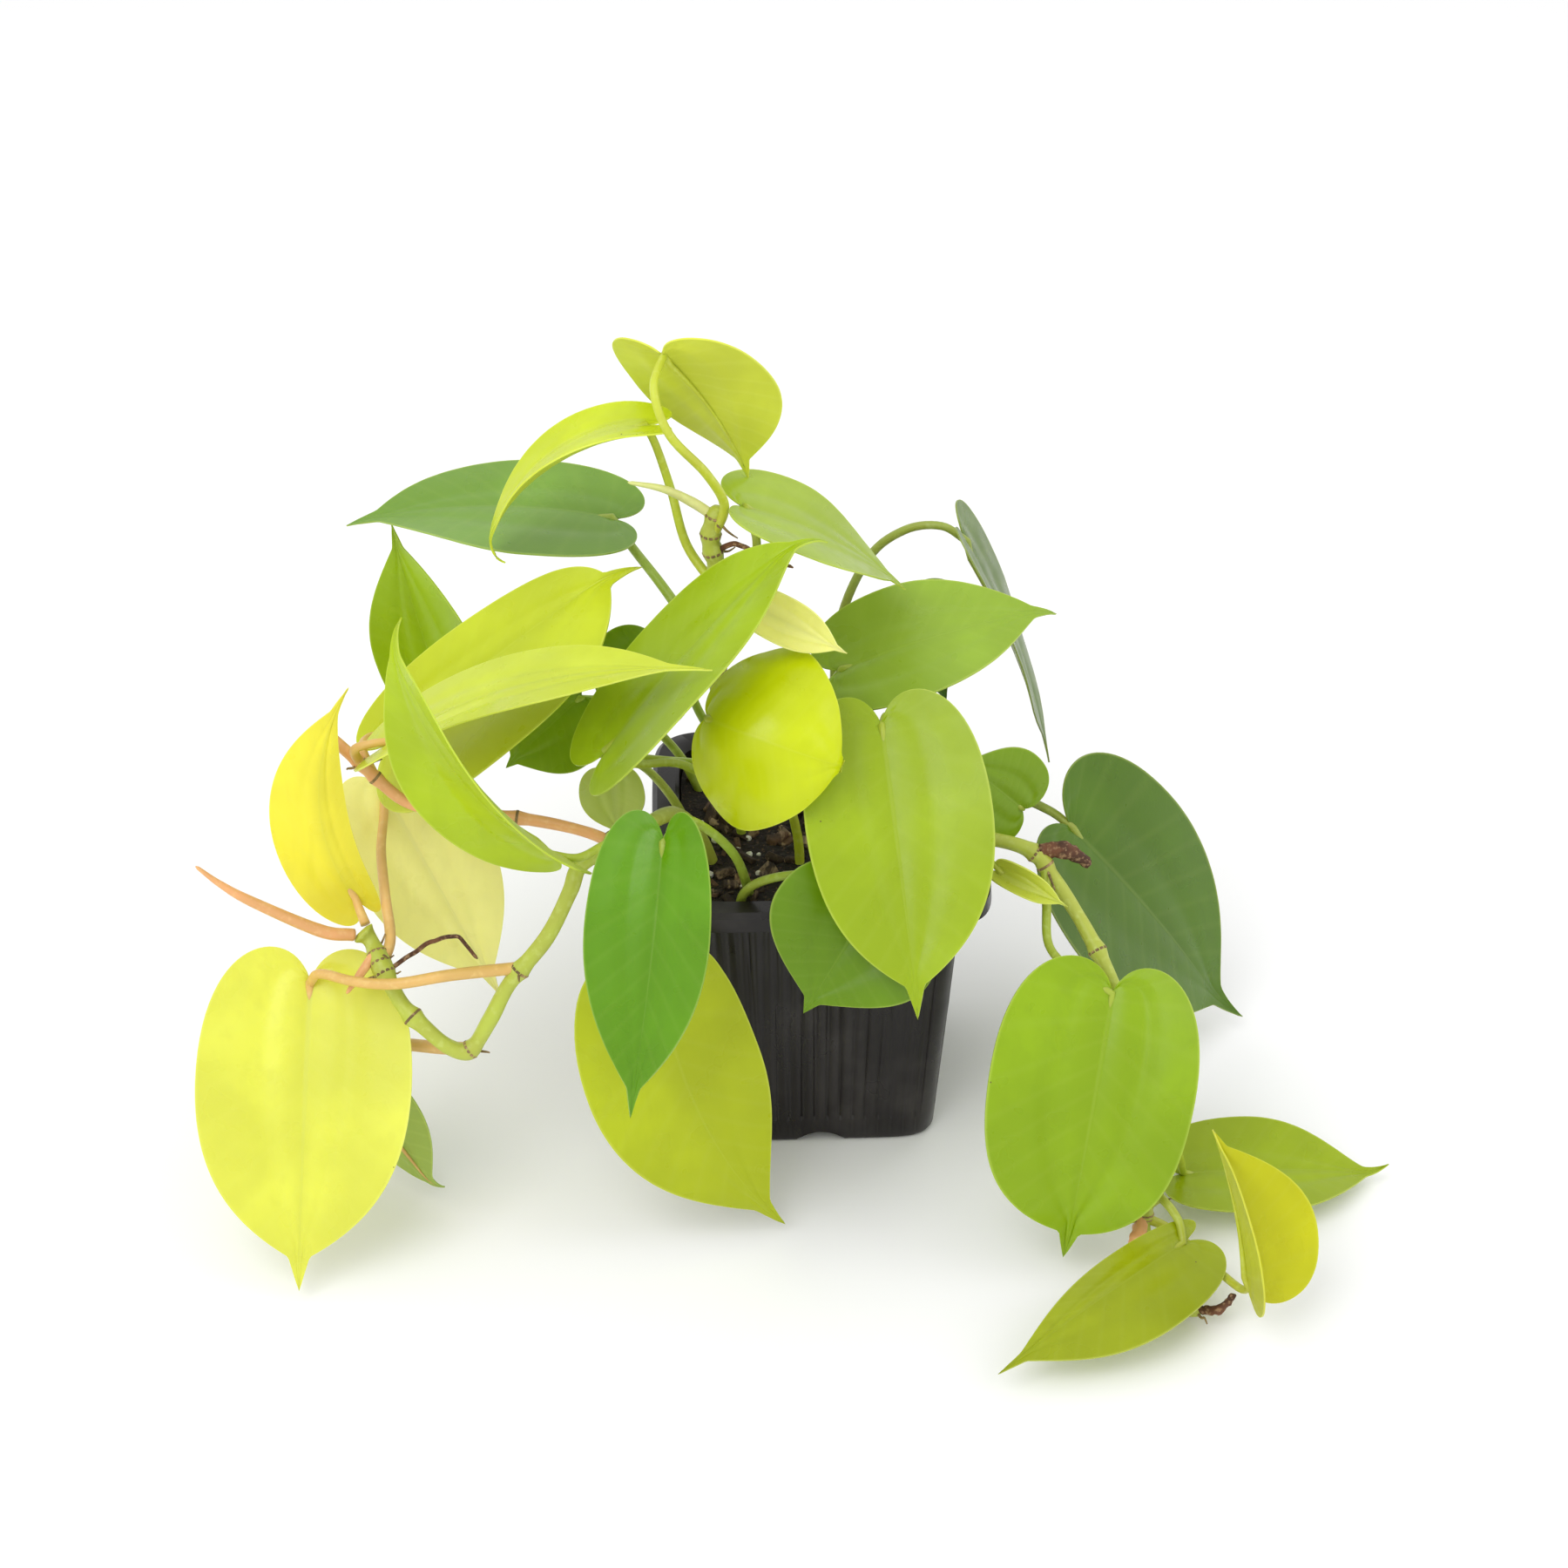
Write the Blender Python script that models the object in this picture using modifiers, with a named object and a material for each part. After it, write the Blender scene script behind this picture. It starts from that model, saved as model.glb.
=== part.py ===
"""Heartleaf philodendron in a square nursery pot.

The origin is at the centre of the pot's underside, +Z is up and the plant is seen from -Y.
Lengths are in millimetres and angles in degrees until the meshes are made, in metres.
"""

import math
from dataclasses import dataclass

import bmesh
import bpy
import numpy as np
from mathutils import Vector, noise
from mathutils.geometry import interpolate_bezier

MM = 0.001
CLEARANCE = 0.3
MERGE_DISTANCE = 0.01
SHARP_ANGLE = 35
TUBE_STEPS = 2

# Pot
POT_HEIGHT = 98
POT_FOOT_WIDTH = 72
POT_TOP_WIDTH = 86
POT_WALL = 1.2
FOOT_ROUND = 2
RIM_OVERHANG = 7
RIM_DROP = 6
SQUARENESS = 8
POT_SEGMENTS = 48
DRAIN_RADIUS = 10
DRAIN_HEIGHT = 4
DRAIN_REACH = 8
DRAIN_SEGMENTS = 20

# Soil
SOIL_BELOW_RIM = 4
SOIL_BUMP = 1.6
SOIL_BUMP_SPACING = 9
SOIL_RINGS = (1, 0.78, 0.56, 0.34, 0.12)

# The pot that the plant's places are given for
PLANT_RIM_HEIGHT = 98
PLANT_RIM_WIDTH = 100

# Leaves
BLADE_THICKNESS = 0.8
BLADE_STEPS = 8
BLADE_COLUMNS = 4
PETIOLE_RADIUS = 1.3
PETIOLE_TAPER = 0.8
PETIOLE_IN_BLADE = 1.5
LOBE = ((0.0, 0.0), (-0.19, 0.13), (-0.17, 1.0), (0.32, 1.0))
FLANK = ((0.32, 1.0), (0.60, 1.0), (0.74, 0.50), (0.88, 0.10))
BLUNT_FLANK = ((0, 0), (0.12, 0), (0.14, 0.40), (0, 0))
LOBE_END = 0.40
FLANK_END = 0.88
VEIN_FAN_END = 0.25
VEIN_FAN_BEND = 1.25
TWIST_CENTRE = 0.35
SHOULDER = 0.86
CURL_FROM = 0.80

# Colours, linear
LIME = (0.52, 0.66, 0.05)
BRIGHT = (0.42, 0.58, 0.03)
GREEN = (0.16, 0.36, 0.02)
DARK_GREEN = (0.08, 0.20, 0.03)
BLUE_GREEN = (0.12, 0.28, 0.09)
YELLOW = (0.72, 0.68, 0.05)
PALE = (0.80, 0.80, 0.30)
STEM_GREEN = (0.38, 0.50, 0.09)
ORANGE = (0.65, 0.33, 0.13)
BROWN = (0.10, 0.035, 0.015)
BLACK_PLASTIC = (0.025, 0.021, 0.022)
SOIL_BROWN = (0.020, 0.012, 0.008)

# Roughness
LEAF_SHEEN = 0.4
STEM_SHEEN = 0.45
TRIM_SHEEN = 0.55
PLASTIC_SHEEN = 0.5
SOIL_SHEEN = 0.95


@dataclass
class Leaf:
    """A heart-shaped blade on its petiole.

    base and tip are the ends of the midrib up to the drip tip, face is the side that the upper surface looks
    to, and route is the petiole's way from the vine or the soil to the base. cup turns the edges up, a blunt
    blade stays broad for longer, and lean is the share that its right half is wider and its left narrower.
    """

    width: float
    base: tuple
    tip: tuple
    face: tuple
    route: tuple
    colour: tuple = BRIGHT
    grows_from: str = "soil"
    arch: float = 15
    fold: float = 8
    curl: float = 0
    sweep: float = 0
    twist: float = 0
    cup: float = 0
    blunt: float = 0
    lean: float = 0
    petiole: float = PETIOLE_RADIUS


VINES = {
    "top_vine": dict(
        radius=2.4,
        colour=STEM_GREEN,
        route=((-26, 8, 82), (-28, 6, 116), (-30, 6, 150), (-29, 5, 178), (-31, 5, 192), (-29, 5, 202)),
    ),
    "left_vine": dict(
        radius=2.3,
        colour=STEM_GREEN,
        route=(
            (-30, -14, 82), (-36, -18, 104), (-43, -24, 116), (-51, -36, 121), (-62, -46, 120),
            (-70, -52, 118),
            (-73, -56, 112), (-80, -60, 99), (-91, -64, 86), (-97, -68, 76), (-103, -70, 67), (-109, -70, 68),
            (-116, -68, 74), (-122, -64, 79), (-127, -58, 86), (-131, -50, 91), (-134, -48, 94),
        ),
    ),
    "upper_left_vine": dict(
        radius=1.7,
        colour=ORANGE,
        grows_from="left_vine",
        route=(
            (-60, -44, 120), (-68, -38, 120), (-80, -34, 121), (-97, -32, 123), (-112, -28, 122),
            (-121, -26, 124), (-129, -24, 131), (-136, -22, 138), (-144, -20, 146),
        ),
    ),
    "right_vine": dict(
        radius=2.2,
        colour=STEM_GREEN,
        route=(
            (28, -16, 82), (33, -19, 97), (43, -22, 104), (54, -24, 104), (63, -26, 101), (68, -29, 95),
            (74, -34, 87), (78, -40, 82), (84, -50, 73), (92, -63, 55), (101, -75, 36), (99, -83, 27),
            (94, -89, 22), (92, -91, 14), (95, -98, 6), (100, -109, 4), (105, -120, 4),
        ),
    ),
}

LEAVES = {
    "top_leaf": Leaf(
        48, (-43, 5, 250), (-22, 20, 210), (0.41, 0.82, 0.41), grows_from="top_vine", arch=20, curl=10,
        sweep=5, colour=LIME,
        route=((-30, 5, 193), (-27, 0, 205), (-32, -7, 219), (-42, -12, 234), (-46, -8, 246)),
    ),
    "arching_top_leaf": Leaf(
        32, (-49, 10, 226), (-94, 6, 193), (-0.55, 0.1, 0.8), grows_from="top_vine", arch=75, fold=-8,
        curl=80, route=((-30, 5, 176), (-38, 12, 186), (-42, 13, 203), (-46, 12, 218)),
    ),
    "dark_upper_left_leaf": Leaf(
        50, (-60, 36, 182), (-127, 34, 185), (0.0, -0.1, 0.99), grows_from="top_vine", curl=10, sweep=20,
        lean=0.15, colour=BLUE_GREEN, route=((-30, 6, 148), (-38, 13, 159), (-46, 21, 168), (-54, 30, 175)),
        petiole=1.5,
    ),
    "upper_right_leaf": Leaf(
        46, (-21, 5, 202), (20, 10, 176), (0.45, 0.05, 0.88), grows_from="top_vine", arch=25, fold=5,
        route=((-29, 5, 182), (-20, 0, 185), (-18, -1, 194)),
    ),
    "centre_long_leaf": Leaf(
        43, (-62, -38, 148), (-10, -21, 202), (-0.6, -0.25, 0.76), grows_from="soil", fold=10, curl=70,
        blunt=0.2, lean=-0.12, route=((-22, -2, 85), (-26, -6, 108), (-40, -10, 124), (-54, -24, 134)),
    ),
    "left_lime_leaf": Leaf(
        48, (-126, 0, 128), (-63, 0, 181), (-0.3, -0.6, 0.75), grows_from="upper_left_vine", fold=15,
        curl=60, blunt=0.6, lean=-0.4, colour=LIME,
        route=((-129, -24, 131), (-133, -16, 136), (-131, -5, 133)),
    ),
    "left_pointed_leaf": Leaf(
        30, (-124, -25, 144), (-46, -46, 180), (0.0, -0.1, 1.0), grows_from="upper_left_vine", arch=40,
        fold=8,
        colour=LIME, route=((-133, -23, 135), (-134, -26, 142), (-129, -26, 144)),
    ),
    "left_back_leaf": Leaf(
        46, (-112, 29, 122), (-124, 39, 170), (-0.5, -0.6, 0.6), grows_from="top_vine", arch=10, fold=25,
        lean=-0.3, route=((-28, 6, 113), (-50, 16, 109), (-80, 24, 109), (-104, 28, 114)),
    ),
    "small_back_leaf": Leaf(
        34, (-46, 14, 147), (-62, 11, 129), (0.0, -0.8, 0.6), grows_from="top_vine", fold=5, colour=GREEN,
        route=((-28, 6, 118), (-35, 12, 128), (-40, 15, 140)),
    ),
    "shaded_left_leaf": Leaf(
        34, (-71, 20, 129), (-91, 15, 111), (-0.2, -0.8, 0.6), grows_from="soil", fold=5, colour=GREEN,
        route=((-32, 20, 85), (-42, 24, 106), (-58, 25, 123)),
    ),
    "pale_hanging_leaf": Leaf(
        20, (-62, -8, 120), (-60, -12, 103), (-0.2, -0.8, 0.6), grows_from="soil", fold=5, colour=PALE,
        route=((-36, 2, 85), (-44, 0, 106), (-54, -4, 121)),
    ),
    "domed_leaf": Leaf(
        63, (-33, -33, 155), (3, -46, 147), (0.0, -0.9, 0.5), grows_from="soil", arch=110, fold=-6, cup=-25,
        curl=70, blunt=0.5, colour=LIME,
        route=((-6, -20, 85), (-7, -19, 105), (-13, -20, 125), (-28, -27, 145)),
    ),
    "unfurling_leaf": Leaf(
        17, (-20, -16, 182), (3, -25, 173), (-0.2, -0.8, 0.6), grows_from="top_vine", arch=-30, cup=30,
        colour=PALE, route=((-30, 5, 164), (-26, -2, 174), (-22, -11, 180)), petiole=1.0,
    ),
    "green_hanging_leaf": Leaf(
        37, (-46, -74, 141), (-55, -107, 84), (-0.3, -0.85, 0.4), grows_from="soil", fold=15, curl=15,
        sweep=-10, twist=-20, lean=-0.05, colour=GREEN,
        route=((-20, -30, 85), (-26, -42, 114), (-39, -60, 139)),
    ),
    "front_large_leaf": Leaf(
        54, (17, -25, 146), (24, -75, 93), (0.0, -0.83, 0.56), grows_from="soil", fold=6, curl=30,
        blunt=0.25,
        lean=0.05, route=((18, -2, 85), (20, -3, 110), (22, -6, 132), (19, -15, 143)),
    ),
    "olive_hanging_leaf": Leaf(
        53, (-48, -66, 86), (-20, -80, 15), (0.1, -0.9, 0.4), grows_from="soil", arch=30, fold=-12, sweep=35,
        lean=-0.1, colour=BRIGHT, route=((-34, -32, 85), (-38, -36, 99), (-42, -48, 103), (-46, -60, 95)),
    ),
    "front_lower_leaf": Leaf(
        52, (14, -53, 106), (-4, -67, 81), (0.05, -0.85, 0.5), grows_from="soil", fold=10, colour=GREEN,
        route=((-25, -38, 85), (-23, -40, 99), (-13, -45, 108), (4, -49, 111)),
    ),
    "small_right_leaf": Leaf(
        30, (61, -7, 104), (44, -10, 122), (0.0, -0.8, 0.6), grows_from="soil", arch=10, colour=GREEN,
        route=((36, 0, 85), (42, 0, 101), (53, -3, 106)),
    ),
    "right_dark_leaf": Leaf(
        68, (77, -5, 95), (128, 12, 18), (0.76, -0.57, 0.29), grows_from="soil", fold=5, curl=-40,
        colour=DARK_GREEN, route=((34, 12, 85), (42, 10, 101), (56, 4, 103), (70, -1, 99)), petiole=1.5,
    ),
    "long_right_leaf": Leaf(
        41, (7, 5, 147), (62, 10, 162), (-0.1, -0.4, 0.9), grows_from="soil", arch=20, fold=5, curl=40,
        route=((6, 10, 85), (4, 12, 110), (3, 10, 134)),
    ),
    "tall_dark_leaf": Leaf(
        42, (47, 46, 166), (73, 46, 97), (0.93, -0.05, 0.37), grows_from="soil", fold=5, colour=BLUE_GREEN,
        route=((12, 24, 85), (7, 30, 110), (8, 42, 138), (17, 50, 158), (28, 50, 168), (39, 47, 171)),
        petiole=1.4,
    ),
    "back_dark_leaf": Leaf(
        36, (29, 44, 147), (40, 40, 118), (0.0, -0.8, 0.6), grows_from="soil", arch=10, colour=DARK_GREEN,
        route=((26, 32, 85), (28, 38, 108), (28, 43, 134)),
    ),
    "right_vine_large_leaf": Leaf(
        61, (83, -62, 76), (70, -97, 18), (0.0, -0.75, 0.66), grows_from="right_vine", arch=20, fold=10,
        curl=30,
        blunt=0.6, lean=-0.06, route=((66, -28, 98), (66, -36, 90), (66, -46, 82), (72, -56, 80)),
    ),
    "right_vine_outer_leaf": Leaf(
        39, (108, -66, 10), (163, -62, 5), (0.0, -0.1, 0.99), grows_from="right_vine", fold=8, curl=-60,
        route=((101, -77, 34), (105, -72, 22)),
    ),
    "right_vine_yellow_leaf": Leaf(
        42, (118, -125, 18), (110, -105, 52), (0.7, -0.5, 0.5), grows_from="right_vine", arch=20, fold=45,
        colour=YELLOW, route=((93, -91, 15), (100, -93, 12), (109, -104, 10), (116, -119, 13)),
    ),
    "right_vine_tip_leaf": Leaf(
        28, (102, -104, 17), (53, -141, 11), (0.1, -0.4, 0.85), grows_from="right_vine", arch=25, fold=10,
        lean=0.4, route=((94, -89, 22), (97, -93, 24), (101, -99, 21)),
    ),
    "left_vine_large_leaf": Leaf(
        63, (-150, -50, 77), (-154, -97, 16), (0.0, -0.8, 0.6), grows_from="left_vine", arch=12, curl=20,
        blunt=0.25, colour=LIME,
        route=((-88, -62, 90), (-107, -66, 91), (-123, -67, 89), (-135, -63, 87), (-146, -55, 84)),
        petiole=1.6,
    ),
    "left_vine_hidden_leaf": Leaf(
        32, (-146, -46, 42), (-120, -60, 10), (-0.2, 0.8, 0.6), grows_from="left_vine", arch=10, curl=-60,
        colour=BLUE_GREEN,
        route=((-103, -70, 67), (-114, -60, 60), (-130, -50, 54), (-142, -45, 49)), petiole=1.8,
    ),
    "left_vine_pale_leaf": Leaf(
        42, (-130, 2, 109), (-102, -16, 55), (0.1, -0.85, 0.5), grows_from="left_vine", arch=10, colour=PALE,
        route=((-128, -56, 88), (-126, -47, 90), (-128, -34, 96), (-130, -18, 101), (-130, -4, 104)),
        petiole=1.5,
    ),
    "left_vine_yellow_leaf": Leaf(
        23, (-136, -39, 99), (-138, -34, 158), (0.1, -0.95, 0.25), grows_from="left_vine", arch=10, fold=-10,
        sweep=-62, lean=0.3, colour=YELLOW, route=((-133, -45, 94), (-135, -41, 97)),
    ),
    "left_curved_leaf": Leaf(
        40, (-78, -61, 129), (-116, -60, 192), (-0.66, -0.74, -0.12), grows_from="left_vine", arch=50,
        fold=5,
        curl=50, cup=15, route=((-60, -44, 120), (-63, -52, 125), (-70, -59, 126)),
    ),
    "young_right_leaf": Leaf(
        10, (52, -35, 101), (68, -45, 97), (0.0, -0.8, 0.6), grows_from="right_vine", colour=PALE,
        route=((43, -22, 104), (47, -29, 104)), petiole=1.0,
    ),
}

TRIM = {
    "left_shoot": dict(
        grows_from="left_vine", radii=(1.8, 1.9, 1.5, 1.0, 0.5), colour=ORANGE,
        route=((-136, -50, 94), (-145, -53, 98), (-163, -56, 111), (-171, -57, 118), (-177, -58, 125)),
    ),
    "left_bud": dict(
        grows_from="left_vine", radii=(1.5, 1.3, 0.5), colour=ORANGE,
        route=((-130, -54, 90), (-134, -58, 86), (-138, -62, 82)),
    ),
    "top_shoot": dict(
        grows_from="top_vine", radii=(1.5, 1.5, 1.1, 0.5), colour=PALE,
        route=((-30, 5, 199), (-36, 6, 203), (-44, 3, 209), (-54, 0, 213)),
    ),
    "right_shoot": dict(
        grows_from="right_vine", radii=(1.4, 1.4, 0.9), colour=BROWN,
        route=((104, -118, 4), (110, -121, 6), (115, -120, 11)),
    ),
    "left_aerial_root": dict(
        grows_from="left_vine", radii=(0.7, 0.7, 0.6, 0.5), colour=BROWN,
        route=((-127, -58, 86), (-116, -52, 91), (-106, -56, 97), (-100, -60, 92)),
    ),
    "top_aerial_root": dict(
        grows_from="top_vine", radii=(0.9, 0.8, 0.6, 0.5), colour=BROWN,
        route=((-30, 5, 187), (-24, 1, 192), (-17, -6, 192), (-8, -8, 189)),
    ),
    "right_aerial_root": dict(
        grows_from="right_vine", radii=(1.0, 0.9, 0.6), colour=BROWN,
        route=((94, -89, 22), (87, -92, 20), (83, -96, 17)),
    ),
    "right_vine_sheath": dict(
        grows_from="right_vine", radii=(1.6, 2.4, 1.8), colour=ORANGE,
        route=((92, -91, 17), (90, -97, 12), (87, -102, 6)),
    ),
    "right_dry_sheath": dict(
        grows_from="right_vine", radii=(2.0, 2.6, 1.6), colour=BROWN,
        route=((64, -26, 102), (72, -25, 101), (80, -25, 96)),
    ),
}


def material(name, colour, roughness):
    """A plain finish of one colour."""
    made = bpy.data.materials.new(name)
    made.use_nodes = True
    shader = made.node_tree.nodes["Principled BSDF"]
    shader.inputs["Base Color"].default_value = (*colour, 1.0)
    shader.inputs["Roughness"].default_value = roughness
    shader.inputs["Metallic"].default_value = 0.0
    return made


def place(name, mesh, collection, finish=None):
    """A new object for a mesh."""
    made = bpy.data.objects.new(name, mesh)
    collection.objects.link(made)
    if finish:
        made.data.materials.append(finish)
    return made


def mesh_from(bm, name):
    """Turn a bmesh, in millimetres, into a smooth-shaded mesh in metres with its faces pointing out."""
    bmesh.ops.scale(bm, vec=(MM, MM, MM), verts=bm.verts)
    bmesh.ops.recalc_face_normals(bm, faces=bm.faces)
    mesh = bpy.data.meshes.new(name)
    bm.to_mesh(mesh)
    bm.free()
    mesh.shade_smooth()
    mesh.set_sharp_from_angle(angle=math.radians(SHARP_ANGLE))
    return mesh


def add_boolean(target, other, operation):
    """Join another mesh object to the target, or cut it away.

    The exact solver opens some of the joints between a thin blade and its petiole, so joining uses the other.
    """
    step = target.modifiers.new(f"{operation.lower()} {other.name}", "BOOLEAN")
    step.operation = operation
    step.object = other
    step.solver = "MANIFOLD" if operation == "UNION" else "EXACT"


def smooth_route(points, steps):
    """Points along a smooth curve through the given ones."""
    points = [Vector(point) for point in points]
    ends = [2 * points[0] - points[1], *points, 2 * points[-1] - points[-2]]
    route = [points[0]]
    for before, start, stop, after in zip(ends, ends[1:], ends[2:], ends[3:]):
        lead = start + (stop - before) / 6
        trail = stop - (after - start) / 6
        route += interpolate_bezier(start, lead, trail, stop, steps + 1)[1:]
    return route


def tube(name, points, radii, steps, collection):
    """A round tube with closed ends, whose radius runs evenly through the given radii."""
    route = smooth_route(points, steps)
    curve = bpy.data.curves.new(name, "CURVE")
    curve.dimensions = "3D"
    curve.bevel_depth = MM
    curve.bevel_resolution = 1
    curve.use_fill_caps = True
    spline = curve.splines.new("POLY")
    spline.points.add(len(route) - 1)
    for index, (point, where) in enumerate(zip(spline.points, route)):
        point.co = (*(where * MM), 1)
        point.radius = float(np.interp(index / (len(route) - 1), np.linspace(0, 1, len(radii)), radii))
    return as_mesh(place(name, curve, collection))


def as_mesh(curve_object):
    """The same tube as a closed mesh, for Booleans."""
    name = curve_object.name
    collection = curve_object.users_collection[0]
    graph = bpy.context.evaluated_depsgraph_get()
    mesh = bpy.data.meshes.new_from_object(curve_object.evaluated_get(graph))
    bm = bmesh.new()
    bm.from_mesh(mesh)
    bmesh.ops.remove_doubles(bm, verts=bm.verts, dist=MERGE_DISTANCE * MM)
    bmesh.ops.recalc_face_normals(bm, faces=bm.faces)
    bm.to_mesh(mesh)
    bm.free()
    matrix = curve_object.matrix_world.copy()
    bpy.data.objects.remove(curve_object)
    mesh.shade_smooth()
    made = place(name, mesh, collection)
    made.matrix_world = matrix
    return made


def square_ring(bm, half_width, height):
    """A closed loop of edges round a square with soft corners."""
    loop = bmesh.ops.create_circle(bm, cap_ends=False, radius=1, segments=POT_SEGMENTS)["verts"]
    for vert in loop:
        x, y = vert.co.x, vert.co.y
        reach = (abs(x) ** SQUARENESS + abs(y) ** SQUARENESS) ** (1 / SQUARENESS)
        vert.co = (x / reach * half_width, y / reach * half_width, height)
    return list({edge for vert in loop for edge in vert.link_edges})


def pot_half_width(height):
    """Half the pot's outer width at a height, on its slanting wall."""
    share = height / POT_HEIGHT
    return (POT_FOOT_WIDTH + (POT_TOP_WIDTH - POT_FOOT_WIDTH) * share) / 2


def build_pot(parts, cutters):
    """A thin moulded pot with a turned-over rim and a drain hole at the foot of each side."""
    bm = bmesh.new()
    top = POT_HEIGHT - POT_WALL
    lip = pot_half_width(POT_HEIGHT) + RIM_OVERHANG - POT_WALL
    profile = (
        (pot_half_width(0) - FOOT_ROUND, 0),
        (pot_half_width(FOOT_ROUND), FOOT_ROUND),
        (pot_half_width(POT_HEIGHT / 2), POT_HEIGHT / 2),
        (pot_half_width(top), top),
        (lip, top),
        (lip, POT_HEIGHT - RIM_DROP),
    )
    rings = [square_ring(bm, half_width, height) for half_width, height in profile]
    bmesh.ops.contextual_create(bm, geom=rings[0])
    for lower, upper in zip(rings, rings[1:]):
        bmesh.ops.bridge_loops(bm, edges=lower + upper)
    pot = place("pot", mesh_from(bm, "pot"), parts, material("black_plastic", BLACK_PLASTIC, PLASTIC_SHEEN))
    wall = pot.modifiers.new("wall", "SOLIDIFY")
    wall.thickness = POT_WALL * MM
    wall.offset = 1
    for side in range(4):
        add_boolean(pot, drain_cutter(side, cutters), "DIFFERENCE")


def drain_cutter(side, cutters):
    """A lying cylinder that cuts one low arch through the wall and the edge of the floor."""
    bm = bmesh.new()
    length = 2 * DRAIN_REACH
    bmesh.ops.create_cone(
        bm, cap_ends=True, segments=DRAIN_SEGMENTS, radius1=DRAIN_RADIUS, radius2=DRAIN_RADIUS, depth=length
    )
    cutter = place(f"drain_cutter_{side}", mesh_from(bm, "drain_cutter"), cutters)
    turn = side * math.pi / 2
    out = POT_FOOT_WIDTH / 2
    cutter.location = Vector((math.sin(turn) * out, -math.cos(turn) * out, DRAIN_HEIGHT - DRAIN_RADIUS)) * MM
    cutter.rotation_euler = (math.pi / 2, 0, turn)
    return cutter


def build_soil(parts, cutters, rooted):
    """The root ball, uneven on top, with a socket for each stem that grows from it."""
    inset = POT_WALL + CLEARANCE
    bottom = POT_WALL + CLEARANCE
    top = POT_HEIGHT - SOIL_BELOW_RIM
    bm = bmesh.new()
    rings = [square_ring(bm, pot_half_width(bottom) - inset - FOOT_ROUND, bottom)]
    for share in SOIL_RINGS:
        rings.append(square_ring(bm, (pot_half_width(top) - inset) * share, top))
        for vert in {vert for edge in rings[-1] for vert in edge.verts}:
            vert.co.z += SOIL_BUMP * noise.noise(vert.co / SOIL_BUMP_SPACING) * (1 - share)
    bmesh.ops.contextual_create(bm, geom=rings[0])
    bmesh.ops.contextual_create(bm, geom=rings[-1])
    for outer, inner in zip(rings, rings[1:]):
        bmesh.ops.bridge_loops(bm, edges=outer + inner)
    soil = place("soil", mesh_from(bm, "soil"), parts, material("soil", SOIL_BROWN, SOIL_SHEEN))
    for name, (points, radius) in rooted.items():
        deeper = (*points[0][:2], points[0][2] - CLEARANCE)
        socket = tube(f"{name}_socket", (deeper, *points[1:]), (radius + CLEARANCE,), TUBE_STEPS, cutters)
        add_boolean(soil, socket, "DIFFERENCE")


def build_vines(parts, cutters):
    """Each vine, and a fatter copy of it that keeps whatever grows from it clear."""
    for name, vine in VINES.items():
        finish = material(f"{name}_skin", vine["colour"], STEM_SHEEN)
        stem = tube(name, vine["route"], (vine["radius"],), TUBE_STEPS, parts)
        stem.data.materials.append(finish)
        tube(f"{name}_clearance", vine["route"], (vine["radius"] + CLEARANCE,), TUBE_STEPS, cutters)
        if "grows_from" in vine:
            add_boolean(stem, bpy.data.objects[vine["grows_from"] + "_clearance"], "DIFFERENCE")


def margin(along, blunt):
    """A point of the blade's edge, as (length, half width), for a share of the way from notch to tip."""
    if along < LOBE_END:
        return bezier_point(LOBE, along / LOBE_END)
    if along < FLANK_END:
        flank = np.array(FLANK) + blunt * np.array(BLUNT_FLANK)
        return bezier_point(flank, (along - LOBE_END) / (FLANK_END - LOBE_END))
    left = (1 - along) / (1 - FLANK_END)
    return np.array((1 - left * (1 - FLANK[3][0]), left * FLANK[3][1]))


def bezier_point(handles, share):
    """A point of a cubic Bezier curve."""
    rest = 1 - share
    weights = (rest**3, 3 * rest**2 * share, 3 * rest * share**2, share**3)
    return sum(weight * np.array(handle) for weight, handle in zip(weights, handles))


def unit(vector):
    """A vector of length one."""
    vector = np.array(vector, float)
    return vector / np.linalg.norm(vector)


class Midrib:
    """The curved line that a blade is built on, from its base to the end of its drip tip."""

    SAMPLES = 80

    def __init__(self, leaf):
        self.share = np.linspace(0, 1, self.SAMPLES)
        bend = np.clip((self.share - CURL_FROM) / (1 - CURL_FROM), 0, 1) ** 1.5
        down = np.radians(leaf.arch) * (self.share - 0.5) + np.radians(leaf.curl) * bend
        side = np.radians(leaf.sweep) * (self.share - 0.5)
        run = np.stack([np.cos(down) * np.cos(side), np.sin(side), -np.sin(down) * np.cos(side)], 1)
        middle = (run[1:] + run[:-1]) / 2 / (self.SAMPLES - 1)
        line = np.concatenate([[np.zeros(3)], np.cumsum(middle, 0)])
        shoulder = line[round(SHOULDER * (self.SAMPLES - 1))]
        along = unit(shoulder)
        upward = unit(np.array((0, 0, 1)) - along * along[2])
        level = np.stack([along, np.cross(upward, along), upward])
        base, tip = np.array(leaf.base, float), np.array(leaf.tip, float)
        self.length = np.linalg.norm(tip - base) / np.linalg.norm(shoulder)
        out = unit(tip - base)
        self.face = unit(np.array(leaf.face) - out * (out @ leaf.face))
        world = np.stack([out, np.cross(self.face, out), self.face])
        self.line = base + line @ level.T * self.length @ world
        self.run = run @ level.T @ world

    def at(self, share):
        """Position, direction, upward normal and sideways direction at a share of the length."""
        held = min(max(share, 0), 1)
        where = np.array([np.interp(held, self.share, axis) for axis in self.line.T])
        ahead = unit([np.interp(held, self.share, axis) for axis in self.run.T])
        where = where + ahead * min(share, 0) * self.length
        up = unit(self.face - ahead * (ahead @ self.face))
        return where, ahead, up, np.cross(up, ahead)


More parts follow.
